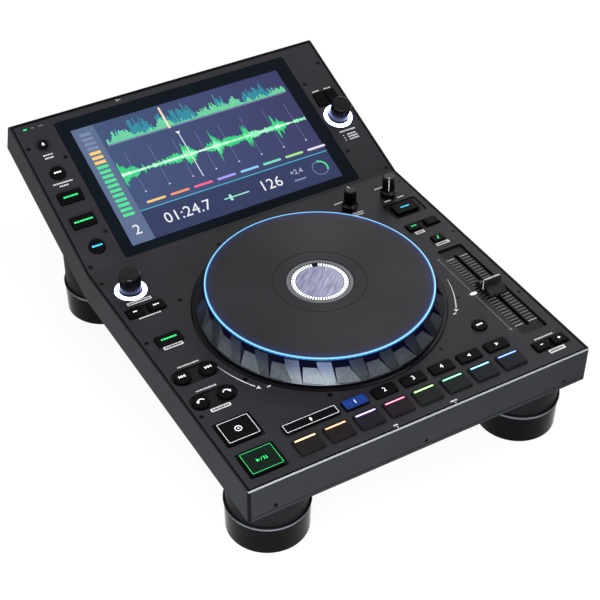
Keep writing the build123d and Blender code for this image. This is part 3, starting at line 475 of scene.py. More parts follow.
# %% [markdown]
# Screws and shafts are steel. The screws are blackened in a hot salt bath, which leaves a dark
# oxide. The shafts are turned bright. Socket contacts are plated.

# %% Steel and plated contacts
def steel(name, low_hex, high_hex, rough):
    """Bare, blackened or plated metal with a fine turned grain."""
    material, tree, place = start(name)
    fine = grain(tree, place, 0.7, 4.0)
    rough = between(tree, fine, rough - 0.06, rough + 0.06)
    return shade(material, mottled(tree, fine, low_hex, high_hex), rough, Metallic=1.0)


black_oxide = steel("black_oxide_steel_screw", "#0c0c0e", "#2a2a2c", 0.3)
bright_steel = steel("turned_steel_shaft", "#9c9c9e", "#b2b2b4", 0.3)
nickel = steel("nickel_plated_contact", "#a9a49a", "#bdb8ae", 0.22)
gold = steel("gold_plated_contact", "#b08a3c", "#c79f4c", 0.2)
print("metals:", black_oxide.name, bright_steel.name, nickel.name, gold.name)

# %% [markdown]
# Circuit boards are glass-fibre laminate under green solder mask, through which the weave of
# the glass cloth shows faintly. What stands on the boards is black plastic, so one height
# divides the two colours.

# %% Circuit board
BOARD_TOP = -11.8 * MM  # upper side of the boards under the faces


def board_laminate():
    """Green solder mask over woven glass laminate, and black parts on it."""
    material, tree, place = start("solder_mask_laminate")
    weave = add(tree, "TexChecker", Vector=place, Scale=1 / (1.0 * MM), output="Fac")
    parts = add(tree, "Math GREATER_THAN", lowest_height(tree, place), BOARD_TOP)
    colour = layered(tree, linear("#0d3a22"), (weave, "#114429"), (parts, "#0c0c0d"))
    return shade(material, colour, 0.35)


solder_mask = board_laminate()
print("board depth mm:", round(-BOARD_TOP / MM, 1))

# %% [markdown]
# Lamps, lit legends and screens give off light of their own: a milky plastic or an ink with
# an emission of the same colour. A strength near one shows the colour as written, and more
# burns out towards white, as a bright lamp does. Faint clouds keep the light from being even.

# %% Lit plastics and inks
def lit(name, hex_colour, strength, rough=0.35, core_hex=None, body_hex=None):
    """Something that shines a little unevenly. Its body has the same colour or another."""
    material, tree, place = start(name)
    shine = mottled(tree, grain(tree, place, 4.0, 2.0), hex_colour, core_hex or hex_colour)
    body = linear(body_hex) if body_hex else shine
    glow = {"Emission_Color": shine, "Emission_Strength": strength}
    return shade(material, body, rough, Specular_IOR_Level=0.06, **glow)


knob_glow = lit("light_guide_white", "#a4b8ff", 9.0, core_hex="#b0c2ff")
# Painted glow: the printed inks have no lamp behind them, yet shine faintly.
glowing_white_ink = lit("printed_white_ink_with_painted_glow", "#d6d6d8", 0.12, 0.6, "#c9c9cc")
glowing_grey_ink = lit("printed_grey_ink_with_painted_glow", "#8c8c90", 0.05, 0.6, "#7f7f84")
legend_white = lit("lit_legend_white", "#e9edf2", 0.75)
legend_green = lit("lit_legend_green", "#35e07c", 0.9, core_hex="#27c76a")
legend_cyan = lit("lit_legend_cyan", "#3fb6e6", 0.9)
pad_lights = [lit(f"pad_light_{i + 1}", hue, 1.25) for i, hue in enumerate(pad_hues)]
core_hues = ["#fff0d2", "#ffdcc4", "#ece0ff", "#ffb4cc", "#e4ffd2", "#c4ffe2", "#c8f6ff", "#a8ccff"]
pad_cores = [lit(f"pad_light_core_{i + 1}", hue, 1.1) for i, hue in enumerate(core_hues)]
print("pad lights:", len(pad_lights))

# %% [markdown]
# The wheel's light guide is a clear ring lit from below. Its outer bevel sends the light out,
# and the rest of it only glows blue, so the brightness follows the distance from the axis.

# %% Light guide of the wheel
glow_stops = [(0.0, "#04101c"), (0.42, "#0a1c2c"), (0.62, "#4c88b0"), (0.92, "#4c88b0")]
glow_stops.append((1.0, "#0e284c"))


def wheel_glow(inner, outer):
    """Brightest along the outer bevel, blue towards both edges."""
    material, tree, place = start("light_guide_blue")
    radius = radius_of(tree, about_wheel(tree, place))
    ramp = add(tree, "ValToRGB", between(tree, radius, 0.0, 1.0, inner, outer))
    elements = ramp.node.color_ramp.elements
    while len(elements) < len(glow_stops):
        elements.new(0.5)
    for element, (spot, hue) in zip(elements, glow_stops):
        element.position = spot
        element.color = linear(hue)
    glow = {"Emission_Color": ramp, "Emission_Strength": 4.0}
    return shade(material, linear("#0a2a5a"), 0.3, **glow)


ring_radii = wheel_radii("jog_light_ring")
ring_glow = wheel_glow(float(ring_radii.min()), float(ring_radii.max()))
print("light guide radius mm:", round(float(ring_radii.max()) / MM, 2))

# %% [markdown]
# The finishes go onto the frame's own nodes. The list reads like a bill of materials: which
# finish each moulding, casting or pressing has.

# %% Give every node its finish
finish_of = {
    "lower_case": case_abs,
    "top_panel": powder_coat,
    "foot_collars": collar_abs,
    "foot_rings": foot_gloss,
    "touch_display": glass_black,
    "jog_base": base_gloss,
    "jog_platter": platter_metal,
    "jog_light_ring": ring_glow,
    "jog_rim": rim_metal,
    "jog_centre_display": glass_black,
    "panel_screws": black_oxide,
    "knob_light_rings": knob_glow,
    "circuit_boards": solder_mask,
    "io_connectors": socket_nylon,
    "pitch_fader_cap": fader_abs,
}
for name, node in nodes.items():
    finish = finish_of.get(name)
    if name.startswith("pad_"):
        finish = silicone[int(name[4:]) - 1]
    elif name.endswith("_shaft"):
        finish = bright_steel
    elif name.endswith("_knob"):
        finish = knob_gloss
    elif name.endswith("_button") or name.startswith("mode_button"):
        finish = key_abs
    node.data.materials.clear()
    node.data.materials.append(finish)
print("finishes on the nodes:", len({node.data.materials[0].name for node in nodes.values()}))

# %% [markdown]
# Print, lamps and screen pictures are thin closed plates that lie on a face. A shape is a
# pair: an outline, and the inner outline of a frame or a ring, or None. Short functions give
# the common shapes.

# %% Outlines in face millimetres
def polar(u, v, radius, angle):
    """The point at a distance from a middle, at an angle in radians."""
    return (u + radius * math.cos(angle), v + radius * math.sin(angle))


def oblong(u, v, width, height, corner=0.0, steps=4):
    """Points of a rectangle about its middle, with round corners if asked."""
    a, b = width / 2, height / 2
    r = min(corner, a, b)
    if r <= 0:
        return [(u - a, v - b), (u + a, v - b), (u + a, v + b), (u - a, v + b)]
    points = []
    middles = ((a - r, b - r), (r - a, b - r), (r - a, r - b), (a - r, r - b))
    for quarter, (cu, cv) in enumerate(middles):
        for i in range(steps + 1):
            angle = math.radians(90 * quarter + 90 * i / steps)
            points.append(polar(u + cu, v + cv, r, angle))
    return points


def bar(u, v, width, height, corner=0.0):
    """A filled rectangle."""
    return (oblong(u, v, width, height, corner), None)


def outline(u, v, width, height, line, corner=0.8):
    """A rectangular frame of a given line width, measured over its outside."""
    inner = oblong(u, v, width - 2 * line, height - 2 * line, max(corner - line, 0.05))
    return (oblong(u, v, width, height, corner), inner)


def disc(u, v, radius, count=32):
    """Points of a circle."""
    return [polar(u, v, radius, 2 * math.pi * i / count) for i in range(count)]


def ring(u, v, radius, line, count=48):
    """A ring, measured over its outside."""
    return (disc(u, v, radius, count), disc(u, v, radius - line, count))


def triangle(u, v, size, angle=0.0):
    """A triangle that points along an angle, in degrees."""
    return ([polar(u, v, size, math.radians(angle + 120 * i)) for i in range(3)], None)


print("corners of a disc:", len(disc(0, 0, 1)))

# %% Strokes
def arc(u, v, radius, line, begin, end, count=14, thin=1.0):
    """A curved stroke from one angle to another, in degrees. thin narrows its start."""
    outer, inner = [], []
    for i in range(count + 1):
        angle = math.radians(begin + (end - begin) * i / count)
        half = line / 2 * (thin + (1 - thin) * i / count)
        outer.append(polar(u, v, radius + half, angle))
        inner.append(polar(u, v, radius - half, angle))
    return (outer + inner[::-1], None)


def dashes(u, v, width, height, seed=1, gap=0.45):
    """A line of short strokes where a small caption would stand."""
    draw = random.Random(seed)
    pieces, left = [], u - width / 2
    while left < u + width / 2 - 0.5:
        long = min(draw.uniform(0.7, 1.5) * height, u + width / 2 - left)
        pieces.append(bar(left + long / 2, v, long, height))
        left += long + gap
    return pieces


def captions(spots, height, first_seed):
    """Rows of strokes for a list of (u, v, width)."""
    rows = [dashes(*spot, height, first_seed + i) for i, spot in enumerate(spots)]
    return sum(rows, [])


def shifted(shapes, u, v):
    """The same shapes with their origin at (u, v)."""
    moved = []
    for shape in shapes:
        moved.append([[(u + x, v + y) for x, y in loop] if loop else None for loop in shape])
    return moved


print("strokes in 10 mm:", len(dashes(0, 0, 10.0, 1.5)))

# %% [markdown]
# One function turns a list of shapes into one mesh and hands it to the body that carries it,
# so print on a key goes down with the key. Every plate is closed, like a real skin of ink.

# %% Lay plates on a face
SKIN = 0.02  # mm between a surface and what is printed on it


def made(name, mesh, material):
    """An object of a mesh in the making."""
    data = bpy.data.meshes.new(name)
    mesh.to_mesh(data)
    mesh.free()
    data.materials.append(material)
    return put(name, data)


def new_piece(name, mesh, material, body="root"):
    """An object that rides on a body."""
    piece = made(name, mesh, material)
    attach(piece, body)
    return piece


def signed_area(points):
    """Area inside an outline, less than zero if it runs clockwise."""
    return sum(a[0] * b[1] - b[0] * a[1] for a, b in zip(points, points[1:] + points[:1])) / 2


def band(mesh, first, second):
    """Joins two loops of corners by a closed band of faces."""
    for quad in zip(first, first[1:] + first[:1], second[1:] + second[:1], second):
        mesh.faces.new(quad)


def lay(name, face, shapes, material=glowing_white_ink, rise=0.0, body="root", thick=0.04):
    """One mesh of thin closed plates that lie on what rises this far over a face."""
    mesh, base = bmesh.new(), rise + SKIN
    for shape in shapes:
        low, high = [], []
        for loop in filter(None, shape):
            loop = loop if signed_area(loop) > 0 else loop[::-1]
            low.append([mesh.verts.new(face.at(u, v, base)) for u, v in loop])
            high.append([mesh.verts.new(face.at(u, v, base + thick)) for u, v in loop])
        band(mesh, low[0], high[0])
        if len(low) == 1:
            mesh.faces.new(high[0])
            mesh.faces.new(low[0][::-1])
        else:
            band(mesh, high[0], high[1])
            band(mesh, high[1], low[1])
            band(mesh, low[1], low[0])
    return new_piece(name, mesh, material, body)


print("print floats", SKIN, "mm over its surface")

# %% [markdown]
# Numbers are the only lettering. Blender's own typeface draws them as curves, which are
# turned into a mesh with a little thickness and laid on the face like any other plate.

# %% Numbers
def number(name, face, text, u, v, size, height, material, body="root", thick=0.03):
    """A plain number, its middle at (u, v), its figures about 0.7 of size high."""
    curve = bpy.data.curves.new(name, "FONT")
    curve.body, curve.size, curve.extrude = text, size, thick / 2
    curve.align_x = curve.align_y = "CENTER"
    curve.resolution_u = 3
    holder = bpy.data.objects.new(name + "_curve", curve)
    data = bpy.data.meshes.new_from_object(holder)
    bpy.data.objects.remove(holder)
    mesh = bmesh.new()
    mesh.from_mesh(data)
    bmesh.ops.remove_doubles(mesh, verts=mesh.verts, dist=1e-5)
    for vert in mesh.verts:
        vert.co = face.at(u + vert.co.x, v + vert.co.y, height + thick / 2 + vert.co.z)
    return new_piece(name, mesh, material, body)


print("figures come from a built-in typeface")

# %% [markdown]
# Deck print. White captions stand beside their keys as rows of short strokes, because this
# player carries no words. Second functions sit in small white boxes. Two long curved arrows
# run along the wheel, and a small pointer stands at each front socket.

# %% Print on the deck
CAPTION = 1.5  # height of a caption, mm
ARROW_REACH = 115.6  # radius of the arrows along the wheel, mm
left, right = play[0], cap_of("vinyl_button", deck)[0]
spots = [(left, 147.0, 19.0), (left, 114.9, 18.0), (left, 216.9, 20.0), (right + 1.3, 31.4, 19.0)]
spots += [(right - 49.6, 273.4, 9.0), (right - 41.5, 252.6, 11.0), (right - 41.5, 249.6, 9.0)]
spots += [(right - 4.6, 275.0, 9.0), (right - 8.0, 254.0, 7.0), (right + 6.4, 254.0, 7.0)]
spots += [(27.7, 5.6, 6.5), (-26.6, 5.6, 4.2)]
marks = captions(spots, CAPTION, 3)
marks += [triangle(27.7, 3.0, 1.0, -90), triangle(-26.6, 3.0, 1.0, -90)]
jog_u, jog_v = deck.local(np.array([jog]))[0][:2]
marks.append(arc(jog_u, jog_v, ARROW_REACH, 1.1, -14.0, -33.0, 20, 0.3))
marks.append(arc(jog_u, jog_v, ARROW_REACH, 1.1, 194.0, 213.0, 20, 0.3))
for degrees, heading in ((-34.5, 236.0), (214.5, -56.0)):
    tip = polar(jog_u, jog_v, ARROW_REACH, math.radians(degrees))
    marks.append(triangle(*tip, 2.3, heading))
marks += [bar(88.5, 91.6, 3.4, 1.2, 0.3), bar(-90.5, 92.0, 3.4, 1.2, 0.3)]
lay("deck_print", deck, marks)
print("marks on the deck:", len(marks))

# %% White boxes
white_boxes = {
    "box_jump": (play[0], 90.0, 17.5, 3.8),
    "box_censor": (play[0], 173.0, 17.6, 3.9),
    "box_loop": (play[0], 238.0, 22.4, 3.9),
    "box_sync": (126.2, 200.0, 9.4, 4.0),
    "box_key_lock": (135.2, 177.0, 13.5, 3.8),
    "box_bend": (136.1, 13.5, 15.8, 4.2),
}
for seed, (name, (u, v, width, height)) in enumerate(white_boxes.items(), 40):
    lay(name, deck, [bar(u, v, width, height, 0.7)])
    row = dashes(u, v, width - 3.0, CAPTION, seed)
    lay(name + "_caption", deck, row, key_abs, 0.05)
print("white boxes:", len(white_boxes))

# %% [markdown]
# Key legends ride on their keys. A key with a meaning that a sign can show, such as play, skip
# or plus, gets the usual sign; the others get strokes or a plain number. A sign is drawn
# about (0, 0) and moved to its cap.

# %% Signs for keys
def skip_sign(way):
    """Two triangles and a bar that point left (-1) or right (1)."""
    heading = 90 - way * 90
    heads = [triangle(-way * 1.5, 0, 1.75, heading), triangle(way * 1.1, 0, 1.75, heading)]
    return heads + [bar(way * 3.1, 0, 0.6, 3.0)]


def jump_sign(way):
    """An arched arrow that comes down on the left (-1) or the right (1)."""
    return [arc(0, -1.4, 2.9, 0.9, 20, 160), triangle(way * 2.9, -0.9, 1.7, -90 + way * 10)]


slash = ([(-1.1, -1.7), (-0.6, -1.7), (0.7, 1.7), (0.2, 1.7)], None)
play_sign = [triangle(-3.4, 0, 1.9), bar(2.3, 0, 0.9, 3.2), bar(4.2, 0, 0.9, 3.2), slash]
cue_sign = [ring(0, 0, 3.0, 0.7), bar(0, 0, 1.6, 1.6, 0.8)]
shift_sign = [triangle(0, 0.7, 1.5, 90), bar(0, -0.9, 1.0, 1.8)]
eject_sign = [triangle(0, 0.4, 1.5, 90), bar(0, -1.2, 2.6, 0.5)]
note_sign = [(disc(-0.5, -1.2, 0.8, 16), None), bar(0.2, 0.4, 0.45, 3.4), bar(0.8, 1.8, 1.5, 0.7)]
plus_sign = [bar(0, 0, 2.6, 0.7), bar(0, 0.85, 0.7, 1.0), bar(0, -0.85, 0.7, 1.0)]
print("outlines in the play sign:", len(play_sign))

# %% Lay a legend on a key
def glow_cap(node, inset, material):
    """A tinted skin over a key's cap, for the lamp under it to shine through."""
    u, v, width, length, top = cap_of(node, deck, 0.2)
    cap = bar(u, v, width - inset, length - inset, 0.9)
    lay(f"{node}_glow", deck, [cap], material, top, node)


def legend(node, sign, material=legend_white, face=deck, framed=False):
    """Lays a sign on a key's cap, inside a thin lit frame if asked."""
    u, v, width, length, top = cap_of(node, face, 0.2)
    frame = [outline(0, 0, width - 1.6, length - 1.6, 0.3, 0.6)] if framed else []
    marks = shifted(frame + sign, u, v)
    lay(f"{node}_legend", face, marks, material, top + 2.5 * SKIN, node)


DARK_CAP = "#060608"  # a lit key's cap with its lamp off
glow_cap("play_button", 0.5, lit("lit_key_cap_green", "#04170d", 1.0, 0.3, "#051c10", DARK_CAP))
legend("cue_button", cue_sign, framed=True)
legend("play_button", play_sign, legend_green, framed=True)
legend("shift_button", shift_sign, framed=True)
for side, way in (("back", -1), ("forward", 1)):
    legend(f"skip_{side}_button", skip_sign(way))
    legend(f"jump_{side}_button", jump_sign(way))
legend("key_lock_button", note_sign, legend_green)
legend("bend_minus_button", [bar(0, 0, 2.6, 0.7)])
legend("bend_plus_button", plus_sign)
legend("eject_button", eject_sign, face=slope)
stroke_legends = [
    ("censor_button", deck, legend_green, 14.0, 1.7),
    ("loop_in_button", deck, legend_white, 4.0, 1.3),
    ("loop_out_button", deck, legend_white, 5.5, 1.3),
    ("vinyl_button", deck, legend_cyan, 9.5, 1.6),
    ("sync_button", deck, legend_green, 6.0, 1.3),
    ("slip_button", deck, legend_white, 6.5, 1.6),
    ("view_button", slope, legend_white, 7.5, 1.5),
    ("source_button", slope, legend_green, 13.5, 1.6),
    ("shortcuts_button", slope, legend_green, 17.5, 1.6),
    ("layer_button", slope, legend_cyan, 9.5, 1.6),
]
for seed, (node, face, ink, width, height) in enumerate(stroke_legends, 11):
    legend(node, dashes(0, 0, width, height, seed), ink, face)
print("keys with strokes:", len(stroke_legends))

# %% [markdown]
# The first mode key is lit from inside and glows blue behind its number. The next three carry
# a number, the last two an arrow. Pads carry a light bar with a paler core near their far edge.

# %% Mode keys and pads
lit_blue = lit("lit_key_cap_blue", "#12347c", 1.0, core_hex="#163f98", body_hex=DARK_CAP)
glow_cap("mode_button_1", 0.6, lit_blue)
for i in range(4):
    node = f"mode_button_{i + 1}"
    u, v, _, _, top = cap_of(node, deck, 0.2)
    rise = top + 2.5 * SKIN + 0.04
    number(f"{node}_number", deck, str(i + 1), u, v, 6.2, rise, legend_white, node)
legend("mode_button_5", [triangle(0, 0, 1.9, 180)])
legend("mode_button_6", [triangle(0, 0, 1.9)])
BAR_INSET = 2.6  # light bar to the pad's far edge, mm
for i, (light, core) in enumerate(zip(pad_lights, pad_cores)):
    node = f"pad_{i + 1}"
    u, v, width, length, top = cap_of(node, deck, 0.2)
    v += length / 2 - BAR_INSET
    lay(f"{node}_light", deck, [bar(u, v, width - 3.2, 1.5, 0.4)], light, top, node, 0.1)
    inner = [bar(u, v, width - 3.9, 0.8, 0.3)]
    lay(f"{node}_light_core", deck, inner, core, top + SKIN + 0.1, node, 0.03)
print("pads lit:", len(pad_lights))

# %% [markdown]
# The slope has a status lamp, small captions beside its keys and encoders, dots that mark what
# a push on an encoder does, and a dark ring round the eject key.

# %% Print on the slope
eject_u, eject_v = cap_of("eject_button", slope)[:2]
view_u, view_v = cap_of("view_button", slope)[:2]
select_u = cap_of("select_encoder_knob", slope, 2.0)[0]
push_rows = (54.5, 51.6, 48.7)
spots = [(eject_u, eject_v - 11.4, 9.0), (eject_u, eject_v - 15.0, 8.5)]
spots += [(view_u, view_v - 10.8, 19.0), (view_u, view_v - 14.2, 8.5)]
spots += [(select_u - 6.0, 111.8, 8.0), (select_u + 6.4, 111.8, 7.0), (select_u, 59.2, 17.0)]
spots += [(select_u + 2.4, v, 10.0) for v in push_rows]
marks = captions(spots, 1.4, 70)
marks += [(disc(select_u - 6.8, v, 0.6, 12), None) for v in push_rows]
marks += [ring(-53.4, 167.4, 1.2, 0.35, 24), bar(-50.6, 167.4, 0.5, 1.4)]
lay("slope_print", slope, marks)
lay("eject_ring", slope, [ring(eject_u, eject_v, 6.7, 0.7)], key_abs)
lay("status_lamp_1", slope, [bar(-147.0, 164.2, 3.4, 1.2, 0.4)], legend_green)
marks = dashes(-139.2, 164.2, 3.2, 1.1, 90) + dashes(-131.4, 164.2, 4.6, 1.1, 91)
lay("status_print", slope, marks, glowing_grey_ink)
print("captions on the slope:", len(spots))

# %% [markdown]
# The fader runs in a sunk well with a ladder of ticks each side of its slot, brighter at both
# ends. A line with a lamp and a pointer runs beside the well. A white line crosses the cap's
# ridge and runs down its left face, so the setting shows from the side.

# %% Fader ticks and range line
cap_u, cap_v, cap_width, _, cap_top = cap_of("pitch_fader_cap", deck, 0.3)
STEPS = 13  # ticks from the middle to each end
WELL_FLOOR = -2.0
tick_pitch = joints["pitch_slide"]["range_m"][1] / MM / STEPS
ladder, ends = [], []
for i in range(-STEPS, STEPS + 1):
    for side in (-1, 1):
        tick = bar(cap_u + side * 7.0, cap_v + i * tick_pitch, 8.2, 0.62)
        (ends if abs(i) == STEPS else ladder).append(tick)
lay("fader_ticks", deck, ladder, glowing_grey_ink, WELL_FLOOR)
lay("fader_end_ticks", deck, ends, glowing_white_ink, WELL_FLOOR)
range_u = cap_u - 17.9
marks = [bar(range_u, cap_v - 1.5, 0.45, 108.0), triangle(range_u, cap_v - 53.0, 2.0, -90)]
marks += [ring(range_u, cap_v + 53.5, 1.0, 0.35, 20), bar(range_u - 5.0, cap_v + 0.3, 1.6, 0.45)]
lay("fader_range_line", deck, marks, glowing_grey_ink)
lamp = [bar(range_u, cap_v + 0.3, 6.2, 2.8, 0.8)]
lay("centre_lamp", deck, lamp, legend_white, 0.05, thick=0.2)
print("ticks:", len(ladder) + len(ends))

# %% Lines on the fader's cap
ridge = [bar(cap_u, cap_v, cap_width, 1.0)]
lay("fader_cap_line", deck, ridge, glowing_white_ink, cap_top, "pitch_fader_cap")
side_u, _, side_width, _, _ = cap_of("pitch_fader_cap", deck, 14.0)
side_face = Face(deck.at(side_u - side_width / 2, cap_v), (0, -1, 0), (0, 0, 1))
side_line = [bar(0, cap_top - 5.2, 1.0, 9.0)]
lay("fader_cap_side_line", side_face, side_line, body="pitch_fader_cap")
print("fader cap height mm:", round(cap_top, 1))

# %% [markdown]
# The small pots carry a white line in a groove down one side and over their top edge.

# %% Pot pointers
GROOVE_RADIUS = 5.4 - SKIN  # mm, floor of the groove in the knob's side
upward = Vector((0, 0, 1))
for node, heading in (("stop_time_knob", 90.0), ("torque_knob", 240.0)):
    u, v, _, _, top = cap_of(node, deck, 0.5)
    way = Vector((*polar(0, 0, 1, math.radians(heading)), 0))
    side_face = Face(deck.at(u, v), upward.cross(way), upward)
    line = [bar(0, top - 6.6, 0.76, 12.4)]
    lay(f"{node}_line", side_face, line, glowing_white_ink, GROOVE_RADIUS, node, 0.55)
    top_face = Face(deck.at(u, v), way, upward.cross(way))
    lay(f"{node}_top_line", top_face, [bar(3.2, 0, 2.6, 0.76)], glowing_white_ink, top, node)
print("last pot's top mm:", round(top, 1))

# %% [markdown]
# The wheel's round display sits still in the middle of the platter. A silver bezel and a ring
# of radial ticks, bright white with one gap, frame a pale violet picture made of soft clouds.

# %% Picture of the round display
def shining(name, colour_of, strength, specular, body_hex):
    """Dark glass in front of a picture. colour_of makes the picture's colour in the tree."""
    material, tree, place = start(name)
    glow = {"Emission_Color": colour_of(tree, place), "Emission_Strength": strength}
    return shade(material, linear(body_hex), 0.12, Specular_IOR_Level=specular, **glow)


def long_clouds(tree, place):
    """Violet clouds drawn out along a slanting line."""
    turned = add(tree, "Mapping", Vector=place, Rotation=(0.0, 0.0, math.radians(-38.0)))
    stretched = add(tree, "Mapping", Vector=turned, Scale=(1.0, 5.0, 1.0))
    return mottled(tree, grain(tree, stretched, 14.0, 2.0), "#6c6e8c", "#a8aad2")


centre_u, centre_v, centre_width, _, centre_top = cap_of("jog_centre_display", deck, 3.0)
display_rise = centre_top - 0.3
picture = [(disc(centre_u, centre_v, 20.0, 64), None)]
violet = shining("round_display_picture", long_clouds, 0.9, 0.5, "#101014")
lay("round_picture", deck, picture, violet, display_rise)
print("round display mm:", round(centre_width, 1))

# %% Bezel and ticks
silver = textured("satin_silver_bezel", "#606165", "#6c6d71", 0.005, 0.8, 0.3)
bezel = [ring(centre_u, centre_v, centre_width / 2 - 0.1, 3.3, 96)]
lay("round_bezel", deck, bezel, silver, centre_top)
TICKS = 64
TICK_GAP = (12, 13)  # ticks left out
ticks = []
for i in range(TICKS):
    if i in TICK_GAP:
        continue
    along = Vector(polar(0, 0, 1, 2 * math.pi * i / TICKS))
    near, far, across = along * 20.5, along * 24.2, Vector((-along.y, along.x)) * 0.6
    ticks.append(([near - across, far - across, far + across, near + across], None))
ticks = shifted(ticks, centre_u, centre_v)
lay("round_ticks", deck, ticks, lit("round_display_white", "#f0f2f8", 1.0), display_rise + 0.03)
print("radial ticks:", len(ticks))

# %% [markdown]
# The big screen's picture is a plain layout of its own: an overview strip along the top, a
# level meter down the side, a long green wave made from seeded noise, beat lines, a row of
# coloured tiles and a band of readouts. Each layer lies 0.03 mm over the last, so nothing
# flickers.

# %% Where the picture lies
glass = slope.local(corners("touch_display"))
glass_top = glass[:, 2].max()
glass = glass[glass[:, 2] > glass_top - 0.5]
glass_low, glass_high = glass.min(axis=0), glass.max(axis=0)
screen_u, screen_v = ((glass_low + glass_high) / 2)[:2] - (1.5, 2.3)
SCREEN_WIDE, SCREEN_TALL = 216.96, 135.6
left_edge, bottom_edge = screen_u - SCREEN_WIDE / 2, screen_v - SCREEN_TALL / 2
LAYER = 0.03
DARK_PIXEL = "#0b0c12"  # a pixel that is off


def paint(name, shapes, hex_colour, layer):
    """Plates that shine in a flat colour. They count from the picture's lower left corner."""
    material = lit("pixels_" + name, hex_colour, 1.0, 0.25, body_hex=DARK_PIXEL)
    moved = shifted(shapes, left_edge, bottom_edge)
    lay("screen_" + name, slope, moved, material, glass_top + layer * LAYER, thick=0.02)


print("glass mm:", np.round(glass_high[:2] - glass_low[:2], 1))

# %% Screen background
def slate(tree, place):
    """Slate blue that turns violet to the right."""
    across = add(tree, "SeparateXYZ", place, output="X")
    first, last = (left_edge + 20) * MM, (left_edge + SCREEN_WIDE) * MM
    share = between(tree, across, 0.0, 1.0, first, last)
    return layered(tree, linear("#44557c"), (share, "#3c3c66"))


COLUMN = 22.0  # width of the meter's column
BAND_Y = 15.5  # middle of the readout band
band_wide, band_x = SCREEN_WIDE - COLUMN, (COLUMN + SCREEN_WIDE) / 2
backdrop = shining("pixels_backdrop", slate, 1.0, 0.06, DARK_PIXEL)
full = [bar(screen_u, screen_v, SCREEN_WIDE, SCREEN_TALL)]
lay("screen_backdrop", slope, full, backdrop, glass_top, thick=0.02)
paint("column", [bar(COLUMN / 2, SCREEN_TALL / 2, COLUMN, SCREEN_TALL)], "#5f7090", 1)
paint("readout_band", [bar(band_x, BAND_Y, band_wide, 2 * BAND_Y)], "#333d60", 1)
paint("band_line", [bar(band_x, 31.4, band_wide, 0.8)], "#4fc6e8", 2)
print("picture mm:", SCREEN_WIDE, SCREEN_TALL)

# %% The wave
def noise_walk(count, rough, seed):
    """A run of values from 0 to 1 that wander smoothly with some spikes."""
    draw = random.Random(seed)
    values, level = [], 0.4
    for _ in range(count):
        level += (draw.random() - 0.5) * rough
        level = min(max(level, 0.1), 0.9)
        values.append(min(1.0, level * draw.uniform(0.55, 1.2)))
    return values


WAVE_Y = 73.0
WAVE_POINTS = 260
BURST_EVERY, BURST_FADE = 43, 6.0  # points
wave_x, wave_wide = COLUMN + 1.0, SCREEN_WIDE - 1.0 - (COLUMN + 1.0)


def wave(reach, seed):
    """A closed outline that swells above and below a line, and swells less to the right."""
    draw = random.Random(seed + 100)
    top, low = [], []
    for i, level in enumerate(noise_walk(WAVE_POINTS, 0.5, seed)):
        x = wave_x + wave_wide * i / (WAVE_POINTS - 1)
        burst = 1.0 + 1.6 * math.exp(-((i % BURST_EVERY) / BURST_FADE))
        tall = reach * level * burst * (1 - 0.2 * i / WAVE_POINTS)
        top.append((x, WAVE_Y + tall))
        low.append((x, WAVE_Y - tall * draw.uniform(0.75, 1.0)))
    return (low + top[::-1], None)


paint("wave_outer", [wave(8.6, 5)], "#3fd484", 2)
paint("wave_inner", [wave(4.4, 9)], "#8df5b8", 3)
paint("wave_core", [wave(1.6, 10)], "#d8ffe6", 4)
print("wave mm:", round(wave_wide, 1))

# %% Beat lines and tiles
BEAT_PITCH = 24.0
beats = [COLUMN + 14 + BEAT_PITCH * i for i in range(8)]
paint("beat_lines", [bar(x, WAVE_Y, 0.35, 46.0) for x in beats], "#7f86b4", 1)
paint("beat_feet", [triangle(x, WAVE_Y - 23.5, 1.2, 90) for x in beats], "#dfe3f5", 2)
playhead_x = beats[2] + 9.0
playhead = [bar(playhead_x, WAVE_Y, 0.8, 54.0), triangle(playhead_x, WAVE_Y + 27.0, 2.6, -90)]
paint("playhead", playhead, "#f4f6ff", 5)
tile_hues = ["#ffd27a", "#ff9a70", "#ff6a90", "#b0a0ff", "#8fd6ff", "#7de8c0", "#a9ee8a", "#e6e6ee"]
for i, (x, hue) in enumerate(zip(beats, tile_hues)):
    paint(f"tile_{i + 1}", [bar(x + 5.0, 38.0, 19.0, 2.4, 1.0)], hue, 2)
print("beats:", len(beats))

# %% Overview
OVERVIEW_Y, OVERVIEW_STROKES = 109.0, 150
stroke_pitch = (SCREEN_WIDE - 3 - (COLUMN + 4)) / OVERVIEW_STROKES


def overview(reach, seed):
    """Upright strokes of uneven height that stand on a line."""
    strokes = []
    for i, level in enumerate(noise_walk(OVERVIEW_STROKES, 0.6, seed)):
        x, tall = COLUMN + 4 + stroke_pitch * (i + 0.5), reach * level
        strokes.append(bar(x, OVERVIEW_Y + tall / 2, stroke_pitch * 0.7, tall))
    return strokes


paint("overview_low", overview(22.0, 21), "#2f9fb0", 2)
paint("overview_high", overview(13.0, 22), "#7df0b0", 3)
paint("overview_foot", [bar(band_x, OVERVIEW_Y - 0.9, band_wide - 7, 0.6)], "#9aa6cc", 2)
paint("overview_place", [bar(COLUMN + 66.0, OVERVIEW_Y + 11.0, 2.0, 26.0)], "#ffe2c4", 4)
print("stroke pitch mm:", round(stroke_pitch, 2))

# %% Level meter and readouts
def readout(name, text, x, y, size, hex_colour="#f2f4fa"):
    """A plain number on the screen, in picture millimetres."""
    ink = lit("pixels_" + name, hex_colour, 1.0, 0.25, body_hex=DARK_PIXEL)
    u, v, height = left_edge + x, bottom_edge + y, glass_top + SKIN + 3 * LAYER
    number("screen_" + name, slope, text, u, v, size, height, ink, thick=0.02)


